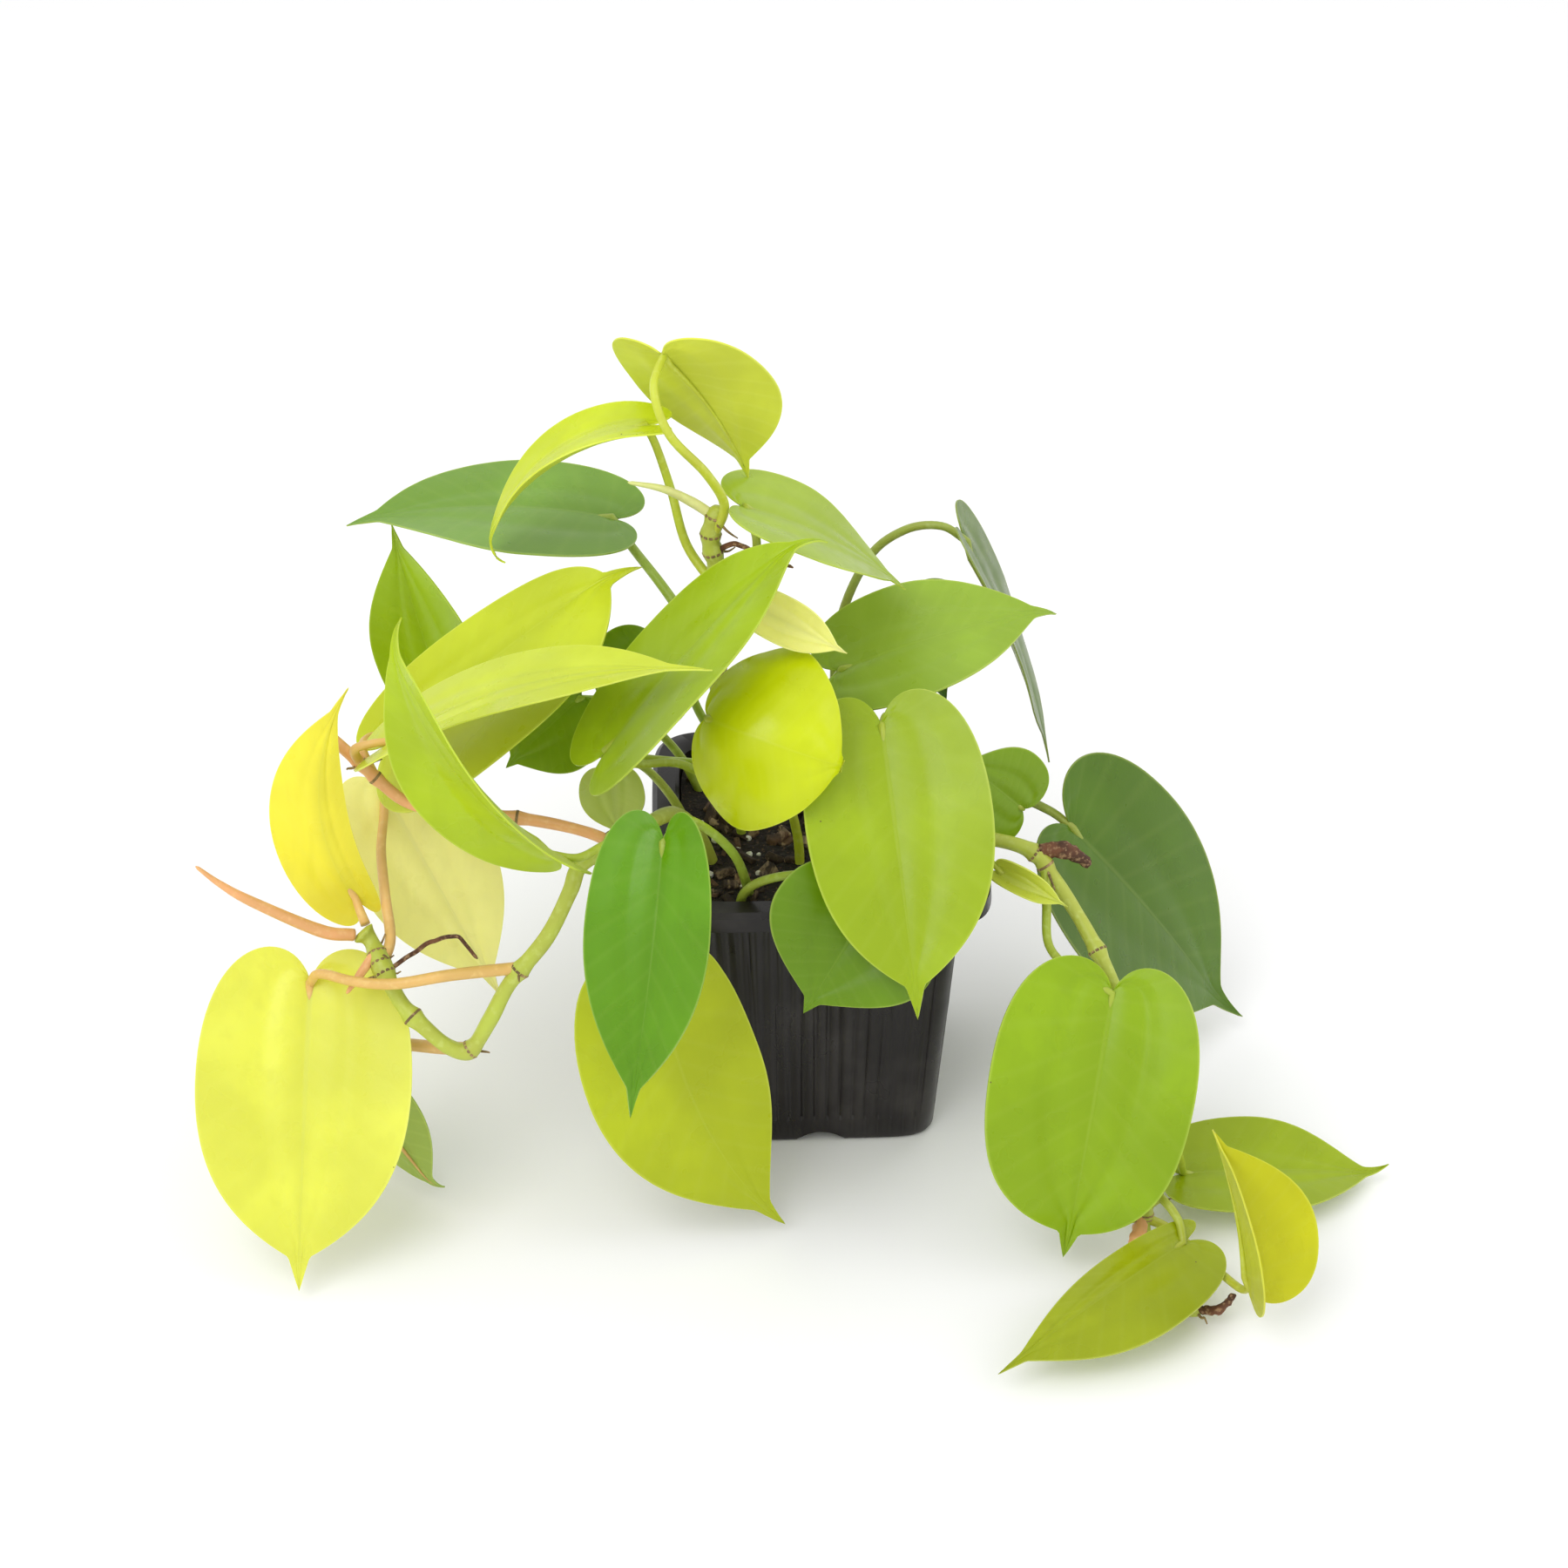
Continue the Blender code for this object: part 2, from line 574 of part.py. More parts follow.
def blade_point(leaf, midrib, along, across):
    """A point of the blade's middle surface: along from notch to tip, across from -1 to 1."""
    edge_along, edge_across = margin(along, leaf.blunt)
    foot = max(0, (along - VEIN_FAN_END) / (1 - VEIN_FAN_END)) ** VEIN_FAN_BEND
    share = foot + abs(across) * (edge_along - foot)
    half_width = leaf.width / 2 * (1 + leaf.lean * math.copysign(1, across))
    reach = abs(across) * edge_across * half_width
    where, _, up, side = midrib.at(share)
    turn = math.radians(leaf.twist) * (share - TWIST_CENTRE)
    side, up = side * math.cos(turn) + up * math.sin(turn), up * math.cos(turn) - side * math.sin(turn)
    rise = math.radians(leaf.fold + leaf.cup * abs(across) * edge_across)
    return where + side * math.copysign(reach * math.cos(rise), across) + up * reach * math.sin(rise)


def build_leaf(name, leaf, parts, cutters):
    """One blade joined to its petiole, cut clear of the vine that it grows from."""
    midrib = Midrib(leaf)
    bm = bmesh.new()
    bmesh.ops.create_grid(bm, x_segments=BLADE_STEPS, y_segments=BLADE_COLUMNS, size=1)
    for vert in bm.verts:
        vert.co = Vector(blade_point(leaf, midrib, (vert.co.x + 1) / 2, vert.co.y))
    bmesh.ops.remove_doubles(bm, verts=bm.verts, dist=MERGE_DISTANCE)
    finish = material(f"{name}_skin", leaf.colour, LEAF_SHEEN)
    blade = place(name, mesh_from(bm, name), parts, finish)
    thickness = blade.modifiers.new("thickness", "SOLIDIFY")
    thickness.thickness = BLADE_THICKNESS * MM
    thickness.offset = 0
    inner_end = midrib.at(PETIOLE_IN_BLADE / midrib.length)[0]
    route = (*leaf.route, tuple(inner_end))
    radii = (leaf.petiole, leaf.petiole * PETIOLE_TAPER)
    petiole = tube(f"{name}_petiole", route, radii, TUBE_STEPS, cutters)
    add_boolean(blade, petiole, "UNION")
    if leaf.grows_from != "soil":
        add_boolean(blade, bpy.data.objects[leaf.grows_from + "_clearance"], "DIFFERENCE")


def build_trim(parts):
    """Shoots, buds, roots in the air and a dry sheath, all tapered tubes."""
    for name, piece in TRIM.items():
        made = tube(name, piece["route"], piece["radii"], TUBE_STEPS, parts)
        made.data.materials.append(material(f"{name}_skin", piece["colour"], TRIM_SHEEN))
        add_boolean(made, bpy.data.objects[piece["grows_from"] + "_clearance"], "DIFFERENCE")


def follow_pot(place):
    """A place given for the plant's own pot, moved with its rim: in proportion inside, and along beyond it."""
    given = (PLANT_RIM_WIDTH / 2, PLANT_RIM_WIDTH / 2, PLANT_RIM_HEIGHT)
    rim = pot_half_width(POT_HEIGHT) + RIM_OVERHANG
    moved = []
    for value, old, new in zip(place, given, (rim, rim, POT_HEIGHT)):
        inside = max(-old, min(old, value))
        moved.append(inside * new / old + value - inside)
    return tuple(moved)


def seat_plant():
    """Move every place in the plant's tables with the pot."""
    for leaf in LEAVES.values():
        leaf.base = follow_pot(leaf.base)
        leaf.tip = follow_pot(leaf.tip)
        leaf.route = tuple(follow_pot(place) for place in leaf.route)
    for stem in (*VINES.values(), *TRIM.values()):
        stem["route"] = tuple(follow_pot(place) for place in stem["route"])


def new_collection(name):
    """A collection in the scene."""
    made = bpy.data.collections.new(name)
    bpy.context.scene.collection.children.link(made)
    return made


def main():
    """Clear the scene and build the potted plant."""
    for old in list(bpy.data.objects):
        bpy.data.objects.remove(old, do_unlink=True)
    seat_plant()
    parts = new_collection("potted_philodendron")
    cutters = new_collection("cutters")
    build_pot(parts, cutters)
    build_vines(parts, cutters)
    for name, leaf in LEAVES.items():
        build_leaf(name, leaf, parts, cutters)
    build_trim(parts)
    rooted = {
        name: (vine["route"], vine["radius"]) for name, vine in VINES.items() if "grows_from" not in vine
    }
    for name, leaf in LEAVES.items():
        if leaf.grows_from == "soil":
            rooted[name] = (leaf.route, leaf.petiole)
    build_soil(parts, cutters, rooted)
    for cutter in cutters.objects:
        cutter.hide_render = True
        cutter.display_type = "WIRE"
    cutters.hide_render = True


main()
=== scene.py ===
"""Trailing heartleaf philodendron in a square nursery pot, finished around its packed frame.

The frame's origin is at the centre of the pot's underside, +Z is up and the plant is seen from -Y.
The plant's tables are in millimetres and degrees; meshes and settings are in metres.
"""

import math
import random
from dataclasses import dataclass
from functools import partial

import bmesh
import bpy
import numpy as np
from bpy.props import FloatProperty, FloatVectorProperty, IntProperty, PointerProperty
from mathutils import Matrix, Vector, noise
from mathutils.geometry import interpolate_bezier


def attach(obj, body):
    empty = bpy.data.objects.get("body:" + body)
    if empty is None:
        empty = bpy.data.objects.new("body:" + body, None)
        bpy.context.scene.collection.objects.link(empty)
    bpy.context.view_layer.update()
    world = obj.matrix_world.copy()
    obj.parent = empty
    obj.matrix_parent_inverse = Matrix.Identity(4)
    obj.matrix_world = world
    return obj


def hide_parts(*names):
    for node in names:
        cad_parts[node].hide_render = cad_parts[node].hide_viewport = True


bl_info = {
    "name": "Potted philodendron",
    "version": (1, 0, 0),
    "blender": (4, 5, 0),
    "location": "View3D > Sidebar > Philodendron",
    "description": "Grows a trailing heartleaf philodendron in its nursery pot",
    "category": "Object",
}

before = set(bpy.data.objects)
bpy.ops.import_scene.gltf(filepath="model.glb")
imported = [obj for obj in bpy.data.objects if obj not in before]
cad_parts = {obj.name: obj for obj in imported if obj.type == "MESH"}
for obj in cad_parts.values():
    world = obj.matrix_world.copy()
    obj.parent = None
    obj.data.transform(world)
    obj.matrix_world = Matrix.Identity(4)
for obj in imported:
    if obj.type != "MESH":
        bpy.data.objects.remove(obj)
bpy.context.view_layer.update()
BODY = "root"
MM = 0.001
BLACK = (0, 0, 0)

# Pot, in millimetres
POT_HEIGHT = 98
POT_FOOT_WIDTH = 72
POT_TOP_WIDTH = 86
POT_WALL = 1.2
FOOT_ROUND = 2
RIM_OVERHANG = 7
RIM_DROP = 6
SQUARENESS = 8
DRAIN_RADIUS = 10
DRAIN_HEIGHT = 4
DRAIN_REACH = 8
SOIL_BELOW_RIM = 4
SOIL_GAP = 0.3
RIB_FOOT = 9
RIB_TOP = 87

# The heart outline, as shares of the blade's length and of half its width
LOBE = ((0.0, 0.0), (-0.19, 0.13), (-0.17, 1.0), (0.32, 1.0))
FLANK = ((0.32, 1.0), (0.60, 1.0), (0.74, 0.50), (0.88, 0.10))
BLUNT_FLANK = ((0, 0), (0.12, 0), (0.14, 0.40), (0, 0))
LOBE_END = 0.40
FLANK_END = 0.88
VEIN_FAN_END = 0.25
VEIN_FAN_BEND = 1.25
TWIST_CENTRE = 0.35
SHOULDER = 0.86
CURL_FROM = 0.80
LEAF_MAP = "leaf"

# Vines, shoots and petioles
STEM_STEPS = 10
PETIOLE_STEPS = 7
MIDRIB_STEPS = 24
NODE_SPACING = 50
NODE_CLEARANCE = 14
NODE_REACH = 2.0
SCAR_WIDTH = 0.8
SCAR_HEIGHT = 0.06
ROOT_STRAY = 0.5

# Finishes of the blades
UPPER_ROUGHNESS = 0.31
UNDER_ROUGHNESS = 0.46
UPPER_VEINS = 0.12
UNDER_VEINS = 0.35

# Fineness of the meshes: a pair holds the numbers for a quick and for a full mesh
POT_SEGMENTS = (288, 576)
SOIL_SEGMENTS = (96, 240)
SOIL_RINGS = (24, 60)
BLADE_ROWS = (40, 72)
BLADE_COLUMNS = (20, 40)
DRAIN_SEGMENTS = 48
BEVEL_RINGS = 4
SHARP_ANGLE = math.radians(40)

# Points closer than this become one: on a tube in metres, on a blade in millimetres
TUBE_MERGE = 0.000002
BLADE_MERGE = 0.01

# Order of the scattered chips and grains, and half the floor's width in millimetres
MIX_SEED = 7
FLOOR_REACH = 4000


@dataclass
class Leaf:
    """A heart-shaped blade on its petiole.

    base and tip are the ends of the midrib up to the drip tip, face is the side that the upper surface looks
    to, and route is the petiole's way from the vine or the soil to the base. tint is the upper side's sRGB
    colour, cup turns the edges up and a blunt blade stays broad for longer; lean is the share that its right
    half is wider, and its left half narrower. wave is the rise of the wavy edge, and pleat the depth of the
    furrows.
    """

    width: float
    base: tuple
    tip: tuple
    face: tuple
    route: tuple
    slot: str = "leaf_bright"
    grows_from: str = "soil"
    arch: float = 15
    fold: float = 8
    curl: float = 0
    sweep: float = 0
    twist: float = 0
    petiole: float = 1.3
    tint: tuple = (160, 195, 50)
    cup: float = 0
    blunt: float = 0
    lean: float = 0
    wave: float = 0.5
    pleat: float = 0.5


VINES = {
    "top_vine": dict(
        slot="stem_green", radius=2.4,
        route=((-26, 8, 82), (-28, 6, 116), (-30, 6, 150), (-29, 5, 178), (-31, 5, 192), (-29, 5, 202)),
    ),
    "left_vine": dict(
        slot="stem_green", radius=2.3,
        route=(
            (-30, -14, 82), (-36, -18, 104), (-43, -24, 116), (-51, -36, 121), (-62, -46, 120),
            (-70, -52, 118), (-73, -56, 112), (-80, -60, 99), (-91, -64, 86), (-97, -68, 76),
            (-103, -70, 67), (-109, -70, 68), (-116, -68, 74), (-122, -64, 79), (-127, -58, 86),
            (-131, -50, 91), (-134, -48, 94),
        ),
    ),
    "upper_left_vine": dict(
        slot="stem_orange", grows_from="left_vine", radius=1.7,
        route=(
            (-60, -44, 120), (-68, -38, 120), (-80, -34, 121), (-97, -32, 123), (-112, -28, 122),
            (-121, -26, 124), (-129, -24, 131), (-136, -22, 138), (-144, -20, 146),
        ),
    ),
    "right_vine": dict(
        slot="stem_green", radius=2.2,
        route=(
            (28, -16, 82), (33, -19, 97), (43, -22, 104), (54, -24, 104), (63, -26, 101), (68, -29, 95),
            (74, -34, 87), (78, -40, 82), (84, -50, 73), (92, -63, 55), (101, -75, 36), (99, -83, 27),
            (94, -89, 22), (92, -91, 14), (95, -98, 6), (100, -109, 4), (105, -120, 4),
        ),
    ),
}

LEAVES = {
    "top_leaf": Leaf(48, (-43, 5, 250), (-22, 20, 210), (0.41, 0.82, 0.41), slot="leaf_lime",
        grows_from="top_vine", arch=20, curl=10, sweep=5, tint=(214, 222, 48), wave=0.8,
        route=((-30, 5, 193), (-27, 0, 205), (-32, -7, 219), (-42, -12, 234), (-46, -8, 246))),
    "arching_top_leaf": Leaf(32, (-49, 10, 226), (-94, 6, 193), (-0.55, 0.1, 0.8), grows_from="top_vine",
        arch=75, fold=-8, curl=80, cup=20, tint=(206, 222, 36),
        route=((-30, 5, 176), (-38, 12, 186), (-42, 13, 203), (-46, 12, 218))),
    "dark_upper_left_leaf": Leaf(50, (-60, 36, 182), (-127, 34, 185), (0.0, -0.1, 0.99),
        slot="leaf_blue_green", grows_from="top_vine", curl=10, sweep=20, lean=0.15, petiole=1.5,
        tint=(124, 164, 64), wave=1.0,
        route=((-30, 6, 148), (-38, 13, 159), (-46, 21, 168), (-54, 30, 175))),
    "upper_right_leaf": Leaf(46, (-21, 5, 202), (20, 10, 176), (0.45, 0.05, 0.88), grows_from="top_vine",
        arch=25, fold=5, tint=(164, 190, 54), wave=0.8,
        route=((-29, 5, 182), (-20, 0, 185), (-18, -1, 194))),
    "centre_long_leaf": Leaf(43, (-62, -38, 148), (-10, -21, 202), (-0.6, -0.25, 0.76), fold=10, curl=70,
        blunt=0.2, lean=-0.12, tint=(160, 188, 24), wave=1.0,
        route=((-22, -2, 85), (-26, -6, 108), (-40, -10, 124), (-54, -24, 134))),
    "left_lime_leaf": Leaf(48, (-126, 0, 128), (-63, 0, 181), (-0.3, -0.6, 0.75), slot="leaf_lime",
        grows_from="upper_left_vine", fold=15, curl=60, blunt=0.6, lean=-0.4, tint=(202, 216, 40), wave=1.2,
        route=((-129, -24, 131), (-133, -16, 136), (-131, -5, 133))),
    "left_pointed_leaf": Leaf(30, (-124, -25, 144), (-46, -46, 180), (0.0, -0.1, 1.0), slot="leaf_lime",
        grows_from="upper_left_vine", arch=40, tint=(210, 224, 68), wave=0.6,
        route=((-133, -23, 135), (-134, -26, 142), (-129, -26, 144))),
    "left_back_leaf": Leaf(46, (-112, 29, 122), (-124, 39, 170), (-0.5, -0.6, 0.6), grows_from="top_vine",
        arch=10, fold=25, lean=-0.3, tint=(150, 182, 10), wave=0.8,
        route=((-28, 6, 113), (-50, 16, 109), (-80, 24, 109), (-104, 28, 114))),
    "small_back_leaf": Leaf(34, (-46, 14, 147), (-62, 11, 129), (0.0, -0.8, 0.6), slot="leaf_green",
        grows_from="top_vine", fold=5, tint=(118, 158, 10),
        route=((-28, 6, 118), (-35, 12, 128), (-40, 15, 140))),
    "shaded_left_leaf": Leaf(34, (-71, 20, 129), (-91, 15, 111), (-0.2, -0.8, 0.6), slot="leaf_green",
        fold=5, tint=(130, 168, 20), route=((-32, 20, 85), (-42, 24, 106), (-58, 25, 123))),
    "pale_hanging_leaf": Leaf(20, (-62, -8, 120), (-60, -12, 103), (-0.2, -0.8, 0.6), slot="leaf_pale",
        fold=5, tint=(178, 196, 92), route=((-36, 2, 85), (-44, 0, 106), (-54, -4, 121))),
    "domed_leaf": Leaf(63, (-33, -33, 155), (3, -46, 147), (0.0, -0.9, 0.5), slot="leaf_lime", arch=110,
        fold=-6, curl=70, cup=-25, blunt=0.5, tint=(206, 220, 4),
        route=((-6, -20, 85), (-7, -19, 105), (-13, -20, 125), (-28, -27, 145))),
    "unfurling_leaf": Leaf(17, (-20, -16, 182), (3, -25, 173), (-0.2, -0.8, 0.6), slot="leaf_pale",
        grows_from="top_vine", arch=-30, cup=30, petiole=1.0, tint=(246, 244, 142),
        route=((-30, 5, 164), (-26, -2, 174), (-22, -11, 180))),
    "green_hanging_leaf": Leaf(37, (-46, -74, 141), (-55, -107, 84), (-0.3, -0.85, 0.4), slot="leaf_green",
        fold=15, curl=15, sweep=-10, twist=-20, lean=-0.05, tint=(96, 150, 4), wave=1.5,
        route=((-20, -30, 85), (-26, -42, 114), (-39, -60, 139))),
    "front_large_leaf": Leaf(54, (17, -25, 146), (24, -75, 93), (0.0, -0.83, 0.56), fold=6, curl=30,
        blunt=0.25, lean=0.05, tint=(156, 182, 14), wave=0.8,
        route=((18, -2, 85), (20, -3, 110), (22, -6, 132), (19, -15, 143))),
    "olive_hanging_leaf": Leaf(53, (-48, -66, 86), (-20, -80, 15), (0.1, -0.9, 0.4), arch=30, fold=-12,
        sweep=35, lean=-0.1, tint=(176, 190, 4), wave=0.8,
        route=((-34, -32, 85), (-38, -36, 99), (-42, -48, 103), (-46, -60, 95))),
    "front_lower_leaf": Leaf(52, (14, -53, 106), (-4, -67, 81), (0.05, -0.85, 0.5), slot="leaf_green",
        fold=10, tint=(110, 150, 6),
        route=((-25, -38, 85), (-23, -40, 99), (-13, -45, 108), (4, -49, 111))),
    "small_right_leaf": Leaf(30, (61, -7, 104), (44, -10, 122), (0.0, -0.8, 0.6), slot="leaf_green",
        arch=10, tint=(130, 166, 18), route=((36, 0, 85), (42, 0, 101), (53, -3, 106))),
    "right_dark_leaf": Leaf(68, (77, -5, 95), (128, 12, 18), (0.76, -0.57, 0.29), slot="leaf_dark", fold=5,
        curl=-40, petiole=1.5, tint=(80, 116, 6), wave=1.0,
        route=((34, 12, 85), (42, 10, 101), (56, 4, 103), (70, -1, 99))),
    "long_right_leaf": Leaf(41, (7, 5, 147), (62, 10, 162), (-0.1, -0.4, 0.9), arch=20, fold=5, curl=40,
        tint=(150, 182, 56), wave=0.8, route=((6, 10, 85), (4, 12, 110), (3, 10, 134))),
    "tall_dark_leaf": Leaf(42, (47, 46, 166), (73, 46, 97), (0.93, -0.05, 0.37), slot="leaf_blue_green",
        fold=5, petiole=1.4, tint=(98, 124, 50), wave=1.0,
        route=((12, 24, 85), (7, 30, 110), (8, 42, 138), (17, 50, 158), (28, 50, 168), (39, 47, 171))),
    "back_dark_leaf": Leaf(36, (29, 44, 147), (40, 40, 118), (0.0, -0.8, 0.6), slot="leaf_dark", arch=10,
        tint=(92, 134, 60), route=((26, 32, 85), (28, 38, 108), (28, 43, 134))),
    "right_vine_large_leaf": Leaf(61, (83, -62, 76), (70, -97, 18), (0.0, -0.75, 0.66),
        grows_from="right_vine", arch=20, fold=10, curl=30, blunt=0.6, lean=-0.06, tint=(142, 176, 6),
        wave=0.6, pleat=1.6, route=((66, -28, 98), (66, -36, 90), (66, -46, 82), (72, -56, 80))),
    "right_vine_outer_leaf": Leaf(39, (108, -66, 10), (163, -62, 5), (0.0, -0.1, 0.99),
        grows_from="right_vine", curl=-60, tint=(156, 178, 14), route=((101, -77, 34), (105, -72, 22))),
    "right_vine_yellow_leaf": Leaf(42, (118, -125, 18), (110, -105, 52), (0.7, -0.5, 0.5),
        slot="leaf_yellow", grows_from="right_vine", arch=20, fold=45, tint=(196, 198, 4),
        route=((93, -91, 15), (100, -93, 12), (109, -104, 10), (116, -119, 13))),
    "right_vine_tip_leaf": Leaf(28, (102, -104, 17), (53, -141, 11), (0.1, -0.4, 0.85),
        grows_from="right_vine", arch=25, fold=10, lean=0.4, tint=(154, 168, 6),
        route=((94, -89, 22), (97, -93, 24), (101, -99, 21))),
    "left_vine_large_leaf": Leaf(63, (-150, -50, 77), (-154, -97, 16), (0.0, -0.8, 0.6), slot="leaf_lime",
        grows_from="left_vine", arch=12, curl=20, blunt=0.25, petiole=1.6, tint=(224, 228, 80), wave=0.6,
        pleat=1.0,
        route=((-88, -62, 90), (-107, -66, 91), (-123, -67, 89), (-135, -63, 87), (-146, -55, 84))),
    "left_vine_hidden_leaf": Leaf(32, (-146, -46, 42), (-120, -60, 10), (-0.2, 0.8, 0.6),
        slot="leaf_blue_green", grows_from="left_vine", arch=10, curl=-60, petiole=1.8, tint=(152, 186, 84),
        route=((-103, -70, 67), (-114, -60, 60), (-130, -50, 54), (-142, -45, 49))),
    # Partly painted light: this leaf's tint is its own pale cream, raised further so that the blade stays
    # bright in the shade where it hangs.
    "left_vine_pale_leaf": Leaf(42, (-130, 2, 109), (-102, -16, 55), (0.1, -0.85, 0.5), slot="leaf_pale",
        grows_from="left_vine", arch=10, petiole=1.5, tint=(255, 250, 158),
        route=((-128, -56, 88), (-126, -47, 90), (-128, -34, 96), (-130, -18, 101), (-130, -4, 104))),
    "left_vine_yellow_leaf": Leaf(23, (-136, -39, 99), (-138, -34, 158), (0.1, -0.95, 0.25),
        slot="leaf_yellow", grows_from="left_vine", arch=10, fold=-10, sweep=-62, lean=0.3,
        tint=(238, 228, 60), route=((-133, -45, 94), (-135, -41, 97))),
    "left_curved_leaf": Leaf(40, (-78, -61, 129), (-116, -60, 192), (-0.66, -0.74, -0.12),
        grows_from="left_vine", arch=50, fold=5, curl=50, cup=15, tint=(172, 198, 8),
        route=((-60, -44, 120), (-63, -52, 125), (-70, -59, 126))),
    "young_right_leaf": Leaf(10, (52, -35, 101), (68, -45, 97), (0.0, -0.8, 0.6), slot="leaf_pale",
        grows_from="right_vine", cup=30, petiole=1.0, tint=(200, 212, 74),
        route=((43, -22, 104), (47, -29, 104))),
}

TRIM = {
    "left_shoot": dict(slot="stem_orange", grows_from="left_vine", radii=(1.8, 1.9, 1.5, 1.0, 0.5),
        route=((-136, -50, 94), (-145, -53, 98), (-163, -56, 111), (-171, -57, 118), (-177, -58, 125))),
    "left_bud": dict(slot="stem_orange", grows_from="left_vine", radii=(1.5, 1.3, 0.5),
        route=((-130, -54, 90), (-134, -58, 86), (-138, -62, 82))),
    "top_shoot": dict(slot="leaf_pale", grows_from="top_vine", radii=(1.5, 1.5, 1.1, 0.5),
        route=((-30, 5, 199), (-36, 6, 203), (-44, 3, 209), (-54, 0, 213))),
    "right_shoot": dict(slot="dry_brown", grows_from="right_vine", radii=(1.4, 1.4, 0.9),
        route=((104, -118, 4), (110, -121, 6), (115, -120, 11))),
    "left_aerial_root": dict(slot="dry_brown", grows_from="left_vine", radii=(0.7, 0.7, 0.6, 0.5),
        route=((-127, -58, 86), (-116, -52, 91), (-106, -56, 97), (-100, -60, 92))),
    "top_aerial_root": dict(slot="dry_brown", grows_from="top_vine", radii=(0.9, 0.8, 0.6, 0.5),
        route=((-30, 5, 187), (-24, 1, 192), (-17, -6, 192), (-8, -8, 189))),
    "right_aerial_root": dict(slot="dry_brown", grows_from="right_vine", radii=(1.0, 0.9, 0.6),
        route=((94, -89, 22), (87, -92, 20), (83, -96, 17))),
    "right_vine_sheath": dict(slot="stem_orange", grows_from="right_vine", radii=(1.6, 2.4, 1.8),
        route=((92, -91, 17), (90, -97, 12), (87, -102, 6))),
    "right_dry_sheath": dict(slot="dry_brown", grows_from="right_vine", radii=(2.0, 2.6, 1.6),
        route=((64, -26, 102), (72, -25, 101), (80, -25, 96))),
}


def number_setting(name, description, default, **more):
    """A setting for a number."""
    return FloatProperty(name=name, description=description, default=default, **more)


def length_setting(name, description, default):
    """A setting in metres."""
    return number_setting(name, description, default, unit="LENGTH")


def colour_setting(name, description, default):
    """A setting for a linear colour."""
    return FloatVectorProperty(name=name, description=description, default=default, subtype="COLOR")


class PHILODENDRON_PG_leaves(bpy.types.PropertyGroup):
    """Sizes that every leaf shares."""

    thickness: length_setting("Blade thickness", "Thickness of a blade", 0.0005)
    groove: length_setting("Midrib groove", "Depth of the groove over the midrib", 0.0005)
    quilting: length_setting("Quilting", "Height of the blade between its side veins", 0.00008)
    veins: IntProperty(name="Side veins", description="Side veins on each half of a blade", default=14)
    underside: colour_setting("Underside", "Colour that the undersides lean to", (0.58, 0.66, 0.14))
    speck: colour_setting("Specks", "Colour of the small marks on old blades", (0.12, 0.10, 0.02))


class PHILODENDRON_PG_stems(bpy.types.PropertyGroup):
    """Sizes and colours of vines, shoots and roots."""

    node_swelling: number_setting(
        "Node swelling", "How much fatter a stem is at a node", 0.32, subtype="FACTOR"
    )
    rootlet_length: length_setting("Rootlet length", "Mean length of the short roots at a node", 0.006)
    rootlets: IntProperty(name="Rootlets", description="Short roots at each bare node", default=2)
    green: colour_setting("Green", "Colour of green stems", (0.46, 0.54, 0.06))
    orange: colour_setting("Orange", "Colour of pinkish young stems", (0.84, 0.42, 0.17))
    pale: colour_setting("Pale", "Colour of the newest shoots", (0.76, 0.78, 0.30))
    dry: colour_setting("Dry", "Colour of dry sheaths and roots", (0.16, 0.06, 0.025))


class PHILODENDRON_PG_pot(bpy.types.PropertyGroup):
    """Sizes and colour of the pot's moulded detail."""

    rib_pitch: length_setting("Rib pitch", "Distance between the upright ribs", 0.0039)
    rib_depth: length_setting("Rib depth", "Depth of the grooves between the ribs", 0.0011)
    rib_share: number_setting(
        "Ribbed share", "Share of a side's width that has ribs", 0.84, subtype="FACTOR"
    )
    colour: colour_setting("Plastic", "Colour of the pot", (0.011, 0.0085, 0.008))


class PHILODENDRON_PG_soil(bpy.types.PropertyGroup):
    """Sizes and colours of the potting mix."""

    bump: length_setting("Unevenness", "Height of the soil's humps", 0.0022)
    chips: IntProperty(name="Bark chips", description="Number of bark chips on top", default=240)
    chip_size: length_setting("Chip size", "Mean length of a bark chip", 0.0052)
    grains: IntProperty(name="White grains", description="Number of white grains on top", default=60)
    grain_size: length_setting("Grain size", "Mean width of a white grain", 0.0018)
    peat: colour_setting("Peat", "Colour of the fine mix", (0.018, 0.011, 0.008))
    bark: colour_setting("Bark", "Colour of the chips", (0.11, 0.055, 0.026))


class PHILODENDRON_PG_stage(bpy.types.PropertyGroup):
    """The floor, the lights and the camera."""

    floor: colour_setting("Floor", "Colour of the floor", (0.96, 0.96, 0.96))
    sky: number_setting("Fill", "Strength of the even fill light", 0.95)
    key: number_setting("Key light", "Power of the large key light", 7.0, unit="POWER")
    rim: number_setting("Side light", "Power of the side light", 2.0, unit="POWER")
    azimuth: number_setting(
        "Azimuth", "Turn of the camera round the plant", math.radians(-2), subtype="ANGLE"
    )
    elevation: number_setting(
        "Elevation", "Height of the camera above the plant", math.radians(34), subtype="ANGLE"
    )
    distance: length_setting("Distance", "Distance from the camera to its target", 0.886)
    lens: number_setting("Lens", "Focal length on a 36 mm sensor", 70.0, unit="CAMERA")
    target: FloatVectorProperty(
        name="Target", description="Point that the camera looks at", default=(-0.011, -0.024, 0.126),
        subtype="TRANSLATION",
    )


def settings(group):
    """One of the scene's groups of settings."""
    return getattr(bpy.context.scene, "philodendron_" + group)


def fineness(pair):
    """The pair's second number, the one for a full mesh; the first, for a quick mesh, is never picked."""
    return pair[1]


# Materials


